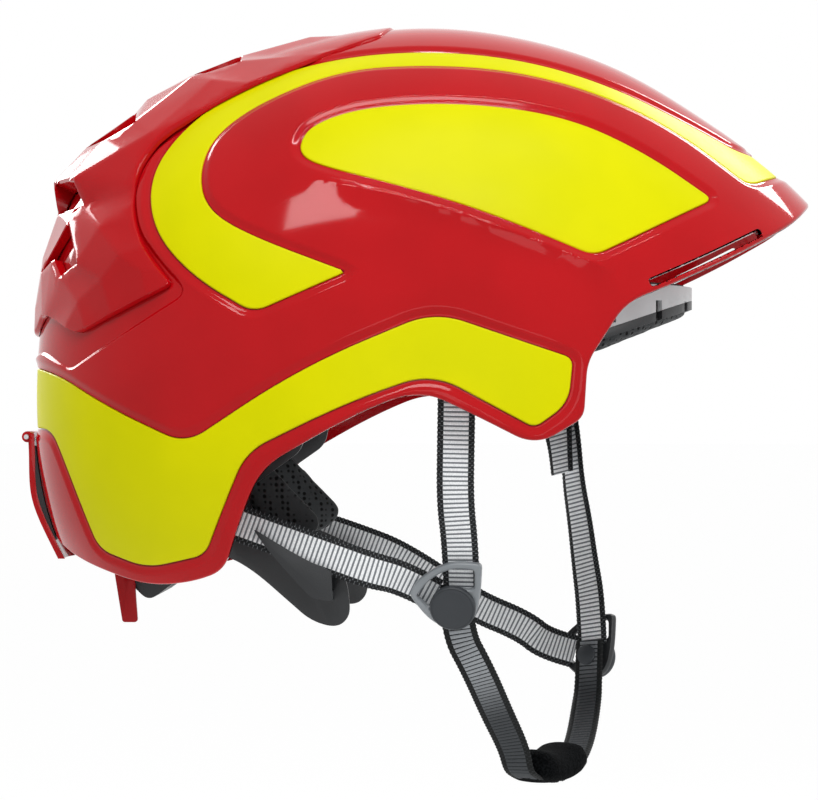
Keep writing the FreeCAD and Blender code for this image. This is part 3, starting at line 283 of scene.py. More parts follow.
def trim(place: tuple, normal: tuple) -> None:
    """Cut the mesh in edit mode along a plane, drop what lies beyond it and close it.

    Args:
        place: a point of the plane in mm.
        normal: direction of the part that is dropped.
    """
    bpy.ops.mesh.select_all(action="SELECT")
    bpy.ops.mesh.bisect(plane_co=Vector(place) * MM, plane_no=normal, use_fill=True, clear_outer=True)


def merged_copy(node: str, name: str, look: bpy.types.Material,
                cuts: Sequence[tuple] = (), flat: float = 0.0) -> bpy.types.Object:
    """Copy a CAD node's solid as a new piece, merge its doubles, cut it and join its flat faces.

    Args:
        node: the CAD node.
        name: the new piece's name.
        look: its material.
        cuts: planes to trim it along.
        flat: faces that meet at less than this many degrees become one; none do at 0.

    Returns:
        The new piece.
    """
    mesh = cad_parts[node].data.copy()
    mesh.name = name
    mesh.materials.clear()
    mesh.materials.append(look)
    piece = bpy.data.objects.new(name, mesh)
    bpy.context.scene.collection.objects.link(piece)
    choose(piece)
    bpy.ops.object.mode_set(mode="EDIT")
    bpy.ops.mesh.select_all(action="SELECT")
    bpy.ops.mesh.remove_doubles(threshold=MERGE_REACH)
    for cut in cuts:
        trim(*cut)
    if flat:
        bpy.ops.mesh.select_all(action="SELECT")
        bpy.ops.mesh.dissolve_limited(angle_limit=math.radians(flat))
    bpy.ops.object.mode_set(mode="OBJECT")
    return piece


def tube_faces(rings: int, size: int) -> list[list[int]]:
    """Faces between rings of size corners each, one ring after another."""
    return [[i * size + k, i * size + (k + 1) % size, (i + 1) * size + (k + 1) % size, (i + 1) * size + k]
            for i in range(rings - 1) for k in range(size)]


def smooth_under(piece: bpy.types.Object, degrees: float) -> None:
    """Shade smooth, with edges over that angle kept sharp."""
    choose(piece)
    bpy.ops.object.shade_smooth_by_angle(angle=math.radians(degrees))


def settle(piece: bpy.types.Object, body: str, slot: str, *nodes: str) -> bpy.types.Object:
    """Ride a piece on a body and hide the nodes it stands for."""
    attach(piece, body)
    if nodes:
        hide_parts(*nodes)
    LOG.info("%s: %d faces on %s", piece.name, len(piece.data.polygons), body)
    return piece


# ------------------------------------------------------------------------------ form of the shell
TURN = 2 * math.pi
Points = Sequence[tuple[float, ...]]


@dataclass
class ShellForm:
    """The smooth outer form: round sections that grow out of the side view's silhouette."""

    half_width: float = 108.0
    fullness: float = 2.4
    silhouette: Points = (
        (158.5, 78), (143, 92.5), (117, 111.5), (84, 131), (46, 143.5), (5, 148), (-40, 141.5),
        (-82, 126.5), (-113, 107), (-134, 82), (-143.5, 55), (-148, 28), (-149.5, 0), (-148, -24),
        (-143.5, -46), (-134, -68), (-116, -89), (-88, -104), (-45, -112), (0, -113), (50, -109),
        (100, -95), (140, -71), (168, -38), (181, 0), (180, 36), (172, 60))

    def __post_init__(self) -> None:
        """Fit the closed cubic spline of the silhouette's reach by angle."""
        corners = sorted((math.atan2(z, x) % TURN, math.hypot(x, z)) for x, z in self.silhouette)
        self.angles = np.array([angle for angle, _ in corners])
        self.reaches = np.array([reach for _, reach in corners])
        self.steps = np.diff(np.append(self.angles, self.angles[0] + TURN))
        count = len(corners)
        table = np.zeros((count, count))
        right = np.zeros(count)
        for i in range(count):
            after = (i + 1) % count
            table[i, i - 1] += self.steps[i - 1] / 6
            table[i, i] += (self.steps[i - 1] + self.steps[i]) / 3
            table[i, after] += self.steps[i] / 6
            right[i] = ((self.reaches[after] - self.reaches[i]) / self.steps[i]
                        - (self.reaches[i] - self.reaches[i - 1]) / self.steps[i - 1])
        self.bends = np.linalg.solve(table, right)

    def reach(self, angle: np.ndarray) -> np.ndarray:
        """Distance of the silhouette from the origin at these angles."""
        offset = (angle - self.angles[0]) % TURN
        first = np.searchsorted(self.angles - self.angles[0], offset, side="right") - 1
        after = (first + 1) % len(self.angles)
        step = self.steps[first]
        right = (offset - (self.angles[first] - self.angles[0])) / step
        left = 1 - right
        bend = ((left ** 3 - left) * self.bends[first]
                + (right ** 3 - right) * self.bends[after]) * step ** 2 / 6
        return left * self.reaches[first] + right * self.reaches[after] + bend

    def share(self, flat: np.ndarray) -> np.ndarray:
        """How far out side-view points lie: 1 on the silhouette."""
        return np.hypot(flat[:, 0], flat[:, 1]) / self.reach(np.arctan2(flat[:, 1], flat[:, 0]))

    def level(self, points: np.ndarray) -> np.ndarray:
        """Implicit function of the outer surface, 1 on it."""
        return self.share(points[:, [0, 2]]) ** self.fullness + (points[:, 1] / self.half_width) ** 2

    def normals(self, points: np.ndarray) -> np.ndarray:
        """Outward unit normals at points of the surface."""
        gradient = np.empty_like(points)
        for axis in range(3):
            step = np.zeros(3)
            step[axis] = 0.01
            gradient[:, axis] = self.level(points + step) - self.level(points - step)
        return gradient / np.linalg.norm(gradient, axis=1)[:, None]

    def on_surface(self, flat: np.ndarray) -> np.ndarray:
        """Points of the left half's surface over side-view points."""
        share = np.clip(self.share(flat), 0, 1)
        width = self.half_width * np.sqrt(1 - share ** self.fullness)
        return np.column_stack((flat[:, 0], width, flat[:, 1]))

    def land(self, points: np.ndarray) -> np.ndarray:
        """Side-view places of points moved onto the surface along the rays from the origin."""
        ring = self.share(points[:, [0, 2]]) ** self.fullness
        side = (points[:, 1] / self.half_width) ** 2
        scale = np.ones(len(points))
        for _ in range(6):
            excess = ring * scale ** self.fullness + side * scale ** 2 - 1
            scale -= excess / (self.fullness * ring * scale ** (self.fullness - 1) + 2 * side * scale)
        return points[:, [0, 2]] * scale[:, None]

    def spread(self, flat: np.ndarray) -> np.ndarray:
        """Side-view points to the evenly spread plane, where the surface meshes well."""
        angle = np.arctan2(flat[:, 1], flat[:, 0])
        reach = self.reach(angle)
        out = np.arcsin(np.clip(np.hypot(flat[:, 0], flat[:, 1]) / reach, 0, 1)) * reach / (math.pi / 2)
        return np.column_stack((out * np.cos(angle), out * np.sin(angle)))

    def gather(self, plane: np.ndarray) -> np.ndarray:
        """The evenly spread plane back to side-view points."""
        angle = np.arctan2(plane[:, 1], plane[:, 0])
        reach = self.reach(angle)
        turn = np.clip(np.hypot(plane[:, 0], plane[:, 1]) / reach, 0, 1) * math.pi / 2
        return np.column_stack((reach * np.sin(turn) * np.cos(angle), reach * np.sin(turn) * np.sin(angle)))


FORM = ShellForm()


def rounded(points: Points, spacing: float = 0.4) -> np.ndarray:
    """Closed outline with its corners rounded.

    Args:
        points: corners (x, z) or (x, z, reach); a corner is rounded from reach before it, or from the
            middle of its edges when no reach is given.
        spacing: distance between the points made.

    Returns:
        The outline's points.
    """
    corners = [np.array(point[:2], float) for point in points]
    line = []
    for i, point in enumerate(points):
        corner = corners[i]
        before = corners[i - 1] - corner
        after = corners[(i + 1) % len(points)] - corner
        reach = point[2] if len(point) > 2 else math.inf
        start = corner + before / np.linalg.norm(before) * min(reach, np.linalg.norm(before) / 2)
        end = corner + after / np.linalg.norm(after) * min(reach, np.linalg.norm(after) / 2)
        if line:
            line += straight(line[-1], start, spacing)
        steps = max(1, int(np.linalg.norm(end - start) / spacing)) if reach > 0 else 0
        for step in range(steps + 1):
            t = step / max(1, steps)
            line.append(start * (1 - t) ** 2 + corner * (2 * t * (1 - t)) + end * t ** 2)
    line += straight(line[-1], line[0], spacing)
    kept = [line[0]]
    for place in line[1:]:
        if np.linalg.norm(place - kept[-1]) > 0.2 * spacing:
            kept.append(place)
    return np.array(kept)


def straight(start: np.ndarray, end: np.ndarray, spacing: float) -> list[np.ndarray]:
    """Points between two ends, without them."""
    count = int(np.linalg.norm(end - start) / spacing)
    return [start + (end - start) * (k / (count + 1)) for k in range(1, count + 1)]


def holds(polygon: np.ndarray, flat: np.ndarray) -> np.ndarray:
    """Which side-view points lie inside a closed outline."""
    inside = np.zeros(len(flat), bool)
    following = np.roll(polygon, -1, axis=0)
    for (x1, z1), (x2, z2) in zip(polygon, following):
        crosses = (z1 > flat[:, 1]) != (z2 > flat[:, 1])
        if crosses.any():
            where = x1 + (flat[:, 1] - z1) * (x2 - x1) / (z2 - z1 if z2 != z1 else 1e-9)
            inside ^= crosses & (flat[:, 0] < where)
    return inside


class Seam:
    """An outline drawn on the shell, and distances from it along the surface."""

    def __init__(self, points: Points) -> None:
        """Lay the outline on the surface."""
        self.polygon = rounded(points)
        self.runs = self._inside_runs()
        self.ribs = [FORM.on_surface(run) for run in self.runs]
        self.tree = kdtree.KDTree(sum(len(rib) for rib in self.ribs))
        self.owner = []
        for number, rib in enumerate(self.ribs):
            for k, point in enumerate(rib):
                self.tree.insert(point, len(self.owner))
                self.owner.append((number, k))
        self.tree.balance()

    def _inside_runs(self) -> list[np.ndarray]:
        """Stretches of the outline within the silhouette, each ended on it."""
        within = FORM.share(self.polygon) < 0.9995
        if within.all():
            return [np.vstack((self.polygon, self.polygon[:1]))]
        first = int(np.argmin(within))
        order = np.roll(np.arange(len(within)), -first)
        runs = []
        current = []
        for i in order:
            if within[i]:
                if not current:
                    current += self._to_edge(self.polygon[i - 1], self.polygon[i])[::-1]
                current.append(self.polygon[i])
            elif current:
                current += self._to_edge(self.polygon[i], self.polygon[i - 1])
                runs.append(np.array(current))
                current = []
        if current:
            current += self._to_edge(self.polygon[order[0]], self.polygon[order[-1]])
            runs.append(np.array(current))
        return runs

    @staticmethod
    def _to_edge(outer: np.ndarray, start: np.ndarray) -> list[np.ndarray]:
        """Points after start to where the segment towards outer crosses the silhouette."""
        inner = start
        for _ in range(40):
            middle = (outer + inner) / 2
            if FORM.share(middle[None])[0] < 1:
                inner = middle
            else:
                outer = middle
        return [start + (inner - start) * (1 - (1 - k / 24) ** 2) for k in range(1, 25)]

    def spaced(self, spacing: float) -> list[np.ndarray]:
        """The runs at an even spacing along the surface."""
        result = []
        for run, rib in zip(self.runs, self.ribs):
            lengths = np.append(0, np.cumsum(np.linalg.norm(np.diff(rib, axis=0), axis=1)))
            count = max(3, int(lengths[-1] / spacing) + 1)
            places = np.linspace(0, lengths[-1], count)
            result.append(np.column_stack([np.interp(places, lengths, run[:, k]) for k in range(2)]))
        return result

    def rows(self, spacing: float, distances: Iterable[float]) -> list[np.ndarray]:
        """Rows of points beside the outline, outward distances positive."""
        rows = []
        for run in self.spaced(spacing):
            surface = FORM.on_surface(run)
            along = np.gradient(surface, axis=0)
            if np.allclose(run[0], run[-1]):
                along[0] = along[-1] = surface[1] - surface[-2]
            across = np.cross(along, FORM.normals(surface))
            across /= np.linalg.norm(across, axis=1)[:, None]
            probe = (surface + across)[:, [0, 2]]
            if holds(self.polygon, probe).mean() > 0.5:
                across = -across
            closed = np.allclose(run[0], run[-1])
            for distance in distances:
                moved = surface + across * distance
                if not closed:
                    moved[[0, -1], 1] = 0.0
                row = FORM.land(moved)
                measured = self.distance(FORM.on_surface(row), row)[0]
                good = (measured * distance > 0) & (np.abs(measured) > 0.93 * abs(distance) - 0.01)
                good &= moved[:, 1] >= 0
                if not closed:
                    good[[0, -1]] = True
                rows.append(row[good])
        return rows

    def distance(self, points: np.ndarray, flat: np.ndarray) -> tuple[np.ndarray, np.ndarray]:
        """Signed distances from the outline, and the directions in which they grow.

        Args:
            points: places on the surface.
            flat: the same places in the side view.

        Returns:
            Distances, negative inside, and unit directions.
        """
        nearest = np.empty_like(points)
        for i, point in enumerate(points):
            number, k = self.owner[self.tree.find(point)[1]]
            rib = self.ribs[number]
            best = rib[k]
            best_gap = math.inf
            for start, end in ((k - 1, k), (k, k + 1)):
                if start < 0 or end >= len(rib):
                    continue
                run = rib[end] - rib[start]
                length = max(1e-12, float(np.dot(run, run)))
                share = min(1.0, max(0.0, float(np.dot(point - rib[start], run)) / length))
                foot = rib[start] + run * share
                gap = float(np.dot(point - foot, point - foot))
                if gap < best_gap:
                    best, best_gap = foot, gap
            nearest[i] = best
        offset = points - nearest
        gap = np.linalg.norm(offset, axis=1)
        sign = np.where(holds(self.polygon, flat), -1.0, 1.0)
        ways = offset / np.maximum(gap, 1e-6)[:, None] * sign[:, None]
        return gap * sign, ways


def smooth(share: np.ndarray) -> np.ndarray:
    """Smooth step from 0 to 1."""
    share = np.clip(share, 0, 1)
    return share * share * (3 - 2 * share)


def triangles_over(loops: list[np.ndarray], points: np.ndarray,
                   keep: Callable[[np.ndarray], np.ndarray]) -> tuple[np.ndarray, np.ndarray]:
    """Triangulate a region of the shell's side.

    Args:
        loops: side-view lines that the triangles' edges follow.
        points: further side-view points to use.
        keep: says which triangles belong, from their middles.

    Returns:
        Side-view points and the triangles over them.
    """
    places = []
    edges = []
    for loop in loops:
        first = len(places)
        places += list(FORM.spread(loop))
        edges += [(first + k, first + k + 1) for k in range(len(loop) - 1)]
    places += list(FORM.spread(points))
    made, _, faces, *_ = geometry.delaunay_2d_cdt([Vector(place) for place in places], edges, [], 0, 1e-5)
    plane = np.array([tuple(place) for place in made])
    faces = np.array(faces)
    kept = faces[keep(FORM.gather(plane[faces].mean(axis=1)))]
    used, kept = np.unique(kept, return_inverse=True)
    return FORM.gather(plane[used]), kept.reshape(-1, 3)[:, ::-1]


def even_points(spacing: float) -> np.ndarray:
    """Side-view points spread evenly over the shell."""
    reach = float(FORM.reaches.max())
    count = int(reach / spacing)
    plane = [((i + 0.5 * (j % 2)) * spacing, j * spacing * math.sqrt(0.75))
             for j in range(-count, int(count * 1.3)) for i in range(-count, count + 1)]
    plane = np.array(plane)
    limit = FORM.reach(np.arctan2(plane[:, 1], plane[:, 0])) - 0.7 * spacing
    return FORM.gather(plane[np.hypot(plane[:, 0], plane[:, 1]) < limit])


def both_halves(points: np.ndarray, faces: np.ndarray,
                normals: np.ndarray) -> tuple[np.ndarray, np.ndarray, np.ndarray]:
    """Mirror the left half and join the two along the middle plane."""
    middle = np.abs(points[:, 1]) < 0.02
    points = points.copy()
    points[middle, 1] = 0.0
    normals = normals.copy()
    normals[middle, 1] = 0.0
    others = np.arange(len(points))
    others[~middle] = len(points) + np.arange((~middle).sum())
    flip = np.array([1.0, -1.0, 1.0])
    return (np.vstack((points, points[~middle] * flip)), np.vstack((faces, others[faces][:, ::-1])),
            np.vstack((normals, normals[~middle] * flip)))


@dataclass
class Crease:
    """A soft ridge pressed into the shell: its line, height, and the width of each flank."""

    line: Points
    height: float
    above: float
    below: float
    fade: float = 0.35

    def __post_init__(self) -> None:
        """Lay a smooth line on the surface."""
        knots = np.array(self.line, float)
        line = [knots[0]]
        for before, knot, after in zip(knots, knots[1:], knots[2:]):
            start = (before + knot) / 2
            end = (knot + after) / 2
            line += [start * (1 - t) ** 2 + knot * 2 * t * (1 - t) + end * t ** 2
                     for t in np.linspace(0, 1, 24)]
        line.append(knots[-1])
        self.flat = np.array(line)
        self.rib = FORM.on_surface(self.flat)
        lengths = np.append(0, np.cumsum(np.linalg.norm(np.diff(self.rib, axis=0), axis=1)))
        self.shares = lengths / lengths[-1]

    def rows(self) -> list[np.ndarray]:
        """Rows of points along the line and close beside it."""
        places = np.linspace(0, 1, 110)
        run = np.column_stack([np.interp(places, self.shares, self.flat[:, k]) for k in range(2)])
        surface = FORM.on_surface(run)
        across = np.cross(np.gradient(surface, axis=0), FORM.normals(surface))
        across /= np.linalg.norm(across, axis=1)[:, None]
        return [(surface + across * distance)[:, [0, 2]] for distance in (-1.8, -0.9, -0.35, 0.35, 0.9, 1.8)]

    def lift(self, points: np.ndarray) -> tuple[np.ndarray, np.ndarray]:
        """Height at surface points, and its gradient along the surface."""
        gaps = np.linalg.norm(points[:, None] - self.rib[None], axis=2)
        best = gaps.argmin(axis=1)
        offset = points - self.rib[best]
        away = gaps[np.arange(len(points)), best]
        upper = offset[:, 2] + 0.35 * offset[:, 0] > 0
        width = np.where(upper, self.above, self.below)
        ends = smooth(self.shares[best] / self.fade) * smooth((1 - self.shares[best]) / 0.04)
        fall = np.clip(1 - away / width, 0, 1)
        height = self.height * ends * fall ** 2
        slope = -2 * self.height * ends * fall / width
        slope *= np.clip(away / 0.3, 0, 1)
        return height, offset / np.maximum(away, 1e-6)[:, None] * slope[:, None]


@dataclass
class ShellDesign:
    """Outlines drawn on the shell and the depths of its steps."""

    wall: float = 3.0
    lip_width: float = 3.6
    lip_depth: float = 1.0
    gap: float = 0.22
    groove_floor: float = 2.2
    rim_radius: float = 1.5
    ledge_depth: float = 0.9
    ledge_width: float = 1.5
    row_spacing: float = 1.35
    teardrop: Points = (
        (-39.2, 97), (-34, 105.2), (-14, 111.8), (24, 113.4), (62, 108.4), (92, 95), (118.5, 76.6, 4),
        (72, 53.4, 5), (30, 70.8), (-6, 81.3), (-27, 87), (-37, 91))
    stripe: Points = (
        (-19, 47.6, 2.5), (-54.5, 32.2, 6), (-79, 46.5), (-95.2, 65), (-97.5, 87), (-84, 107), (-62, 122.5),
        (-30, 132.8), (8, 135.8), (46, 132.5), (80, 122.3), (112, 107.2), (136, 94.5), (152, 106), (164, 100),
        (147, 88.5, 4), (133, 82.8, 5), (104, 105), (72, 119.5), (40, 127.3), (8, 129), (-24, 127.3),
        (-54, 115), (-71.5, 102), (-77, 88), (-74, 73), (-58, 62.5))
    band: Points = (
        (-175, 14, 0), (-140, 13.2), (-112, -2.6), (-80.5, -16.2, 9), (-36, 12.5), (13, 33, 12),
        (64.4, 15.6, 3.5), (62.8, -1.5, 7), (50, -10.6, 3.5), (12, 9.8, 12), (-20, -1.5), (-57, -19.5, 9),
        (-65, -38), (-73.6, -58.8, 5), (-97.5, -64.6, 8), (-117.8, -58, 6), (-131.5, -25), (-138.5, -11.5, 6),
        (-175, -11.5, 0))
    rim: Points = (
        (185, 92, 0), (163, 80.5, 3), (150.5, 68.6, 6), (128, 55.8), (101, 43.2), (84, 36.5, 9), (76, 24, 9),
        (69.6, 14, 5), (68.3, -6.5, 4), (50.5, -17.2, 9), (26, -4.6), (7, 4.2, 14), (-20, -7), (-51, -25, 9),
        (-58.5, -41), (-66.5, -64.5, 6), (-80, -69.5), (-97, -71), (-112.5, -67), (-127.5, -62, 8),
        (-141, -54.5, 6), (-180, -46, 0), (-180, 190, 0), (185, 190, 0))
    ledge: Points = (
        (-8, 185, 0), (-8, 150, 0), (-16, 140, 2), (-66, 117), (-93, 99), (-102, 84), (-100, 66), (-92, 55,
        8),
        (-78, 40, 7), (-128, 10.5, 3), (-143, 18, 3), (-151, 15, 2), (-175, 14, 0), (-175, 185, 0))
    brim_slot: Points = (
        (93.5, 42.1, 1), (114, 51.1), (136.5, 62.4, 1), (135.2, 65.1, 1), (112.7, 53.8), (92.2, 44.8, 1))
    flank_crease: Crease = field(default_factory=lambda: Crease(
        ((-42, 84.5), (-22, 80), (4, 74.5), (36, 64), (62, 54), (86, 44.5)), 1.7, 17.0, 9.0))


class Shell:
    """The shell, its yellow inlays and the seams between them."""

    def __init__(self, design: ShellDesign, red: bpy.types.Material, yellow: bpy.types.Material) -> None:
        """Lay out every seam."""
        self.design = design
        self.red = red
        self.yellow = yellow
        self.rim = Seam(design.rim)
        self.slot = Seam(design.brim_slot)
        self.ledge = Seam(design.ledge)
        self.panels = {"side_inlay": Seam(design.teardrop), "crown_stripe": Seam(design.stripe),
                       "lower_band": Seam(design.band)}

    def relief(self, flat: np.ndarray, lips: bool = True) -> tuple[np.ndarray, np.ndarray]:
        """Outer surface with its lips, ledge, crease and rounded rim.

        Args:
            flat: side-view points.
            lips: whether to sink the lips and grooves of the inlays.

        Returns:
            Places and shading normals of the left half.
        """
        design = self.design
        points = FORM.on_surface(flat)
        normals = FORM.normals(points)
        tilt = np.zeros_like(points)
        lift, slope = design.flank_crease.lift(points)
        tilt += slope
        flatness = np.ones(len(points))
        sides = []
        for panel in self.panels.values():
            away, way = panel.distance(points, flat)
            share = (np.abs(away) - design.gap) / design.lip_width
            fall = 1 - smooth(share)
            clipped = np.clip(share, 0, 1)
            steep = -6 * clipped * (1 - clipped) / design.lip_width * np.sign(away)
            flatness *= 1 - fall
            sides.append((away, way, fall, steep))
        if lips:
            lift -= design.lip_depth * (1 - flatness)
            for away, way, fall, steep in sides:
                others = flatness / np.maximum(1 - fall, 1e-3)
                tilt -= way * (design.lip_depth * steep * others)[:, None]
        away, way = self.ledge.distance(points, flat)
        share = -away / design.ledge_width
        lift -= design.ledge_depth * smooth(share)
        clipped = np.clip(share, 0, 1)
        tilt += way * (design.ledge_depth * 6 * clipped * (1 - clipped) / design.ledge_width)[:, None]
        for edge, radius in ((self.rim, design.rim_radius), (self.slot, 0.5)):
            away, way = edge.distance(points, flat)
            near = np.clip(1 - np.abs(away) / radius, 0, 0.995)
            lift -= radius * (1 - np.sqrt(1 - near ** 2))
            tilt += way * (near / np.sqrt(1 - near ** 2) * np.sign(away))[:, None]
        normals = normals - tilt
        if lips:
            floor = np.zeros(len(points), bool)
            for away, _, _, _ in sides:
                floor |= away < design.gap - 0.05
            lift[floor] = -design.groove_floor
        normals /= np.linalg.norm(normals, axis=1)[:, None]
        return points + FORM.normals(points) * lift[:, None], normals

    def _rim_parts(self) -> tuple[np.ndarray, list[np.ndarray]]:
        """The rim's line from nape to brim with the crown line that closes it, and rows inside it."""
        line = self.rim.spaced(self.design.row_spacing)[0]
        rows = self.rim.rows(self.design.row_spacing, (-0.12, -0.3, -0.6, -1.0, -1.5, -2.3))
        return line, rows

    def _keep(self, extra: Callable[[np.ndarray], np.ndarray]) -> Callable[[np.ndarray], np.ndarray]:
        """Which side-view places belong to the shell and pass a further test."""
        def keep(flat: np.ndarray) -> np.ndarray:
            """True for triangle middles that stay."""
            return ((FORM.share(flat) < 1) & holds(self.rim.polygon, flat)
                    & ~holds(self.slot.polygon, flat) & extra(flat))
        return keep

    @staticmethod
    def crown_between(start: np.ndarray, end: np.ndarray) -> np.ndarray:
        """The silhouette between two of its points, ends included."""
        angles = [math.atan2(point[1], point[0]) % TURN for point in (start, end)]
        count = max(3, int(abs(angles[1] - angles[0]) * 150 / 1.6))
        turn = np.linspace(angles[0], angles[1], count)
        reach = FORM.reach(turn)
        line = np.column_stack((reach * np.cos(turn), reach * np.sin(turn)))
        line[0], line[-1] = start, end
        return line

    @staticmethod
    def clear_of(points: np.ndarray, rows: list[np.ndarray], room: float) -> np.ndarray:
        """Points further than room from every row."""
        tree = kdtree.KDTree(sum(len(row) for row in rows))
        for row in rows:
            for place in FORM.on_surface(row):
                tree.insert(place, 0)
        tree.balance()
        surface = FORM.on_surface(points)
        return points[[tree.find(place)[2] > room for place in surface]]

    def build_shell(self) -> bpy.types.Object:
        """The red shell with its lips, seams, ledge, slot and rounded rim."""
        design = self.design
        spacing = design.row_spacing
        line, rows = self._rim_parts()
        crown = self.crown_between(line[0], line[-1])
        loops = [line, crown] + self.slot.spaced(0.8)
        for panel in self.panels.values():
            for distance in (design.gap, 0.5 * design.gap):
                loops += panel.rows(spacing, (distance,))
        groups = [design.flank_crease.rows()]
        groups += [panel.rows(spacing, (0.55, 1.0, 1.5, 2.0, 2.5, 3.0, 3.5, 4.1))
                   for panel in self.panels.values()]
        groups += [self.slot.rows(0.8, (0.15, 0.35, 0.7)),
                   self.ledge.rows(spacing, (0.3, -0.05, -0.4, -0.8, -1.2, -1.7))]
        for group in groups:
            rows += [self.clear_of(row, loops + rows, 0.4) for row in group if len(row)]
        fill = self.clear_of(even_points(3.0), loops + rows, 1.9)
        keep = self._keep(lambda flat: np.ones(len(flat), bool))
        places = np.vstack(rows + [fill])
        places = places[keep(places)]
        flat, faces = triangles_over(loops, places, keep)
        points, normals = self.relief(flat)
        inner_loops = [line, crown] + self.slot.spaced(0.8)
        inner_fill = self.clear_of(even_points(6.0), inner_loops, 3.5)
        inner_flat, inner_faces = triangles_over(inner_loops, inner_fill[keep(inner_fill)], keep)
        base = FORM.on_surface(inner_flat)
        inward = FORM.normals(base)
        inner_points = base - inward * design.wall
        points, faces, normals = joined_walls((points, faces, normals), (inner_points, inner_faces, -inward),
                                              FORM.on_surface(flat), base)
        points, faces, normals = both_halves(points, faces, normals)
        shell = new_piece("shell", points, faces, self.red, normals)
        return settle(shell, "root", "shell_red", "outer_shell")

    def build_panel(self, name: str) -> list[bpy.types.Object]:
        """One inlay, sunk between the lips: a pair for the sides, one across the middle otherwise."""
        design = self.design
        panel = self.panels[name]
        loops = panel.rows(design.row_spacing, (-design.gap,))
        if len(panel.runs) > 1 or not np.allclose(panel.runs[0][0], panel.runs[0][-1]):
            ends = [loop[k] for loop in loops for k in (0, -1)]
            ends.sort(key=lambda place: math.atan2(place[1], place[0]) % TURN)
            for start, end in zip(ends[::2], ends[1::2]):
                loops.append(self.crown_between(start, end))
        rows = panel.rows(design.row_spacing, (-0.4, -0.65, -1.0, -1.6, -2.6))

        def keep(flat: np.ndarray) -> np.ndarray:
            """True within the inlay's own outline."""
            away = panel.distance(FORM.on_surface(flat), flat)[0]
            return (away < -design.gap) & (FORM.share(flat) < 1)

        fill = self.clear_of(even_points(3.0), loops + rows, 1.9)
        places = np.vstack(rows + [fill])
        flat, faces = triangles_over(loops, places[keep(places)], keep)
        base = FORM.on_surface(flat)
        away, way = panel.distance(base, flat)
        outward = FORM.normals(base)
        near = np.clip(1 + (away + design.gap) / 0.7, 0, 0.99)
        lift = -design.lip_depth - 0.7 * (1 - np.sqrt(1 - near ** 2))
        slope = near / np.sqrt(1 - near ** 2)
        normals = outward + way * slope[:, None]
        normals /= np.linalg.norm(normals, axis=1)[:, None]
        top = (base + outward * lift[:, None], faces, normals)
        foot = (base - outward * (design.groove_floor - 0.06), faces, -outward)
        points, faces, normals = joined_walls(top, foot, base, base)
        if name == "side_inlay":
            flip = np.array([1.0, -1.0, 1.0])
            left = new_piece("teardrop_left", points, faces, self.yellow, normals)
            right = new_piece("teardrop_right", points * flip, faces[:, ::-1], self.yellow, normals * flip)
            return [settle(left, "root", "inlay_yellow", "side_inlay_left"),
                    settle(right, "root", "inlay_yellow", "side_inlay_right")]
        points, faces, normals = both_halves(points, faces, normals)
        piece = new_piece(f"{name}_inlay", points, faces, self.yellow, normals)
        return [settle(piece, "root", "inlay_yellow", name)]


def joined_walls(upper: tuple, lower: tuple, upper_base: np.ndarray,
                 lower_base: np.ndarray) -> tuple[np.ndarray, np.ndarray, np.ndarray]:
    """Close a skin and its underside along their common edges.

    Args:
        upper: points, faces and normals of the outer skin.
        lower: the same of the underside, its faces wound like the outer skin's.
        upper_base: the outer skin's points on the bare surface, to find partners.
        lower_base: the same for the underside.

    Returns:
        Points, faces and normals of the whole, without the edges on the middle plane.
    """
    points, faces, normals = upper
    under_points, under_faces, under_normals = lower
    tree = kdtree.KDTree(len(lower_base))
    for index, place in enumerate(lower_base):
        tree.insert(place, index)
    tree.balance()
    edges = faces[:, [0, 1, 1, 2, 2, 0]].reshape(-1, 2)
    known = {tuple(edge) for edge in edges.tolist()}
    rim = [edge for edge in edges.tolist() if (edge[1], edge[0]) not in known]
    offset = len(points)
    walls = []
    for start, end in rim:
        if abs(upper_base[start][1]) < 0.02 and abs(upper_base[end][1]) < 0.02:
            continue
        below = [offset + tree.find(upper_base[corner])[1] for corner in (start, end)]
        walls += [(end, start, below[0]), (end, below[0], below[1])]
    whole = np.vstack((faces, under_faces[:, ::-1] + offset, np.array(walls)))
    return np.vstack((points, under_points)), whole, np.vstack((normals, under_normals))


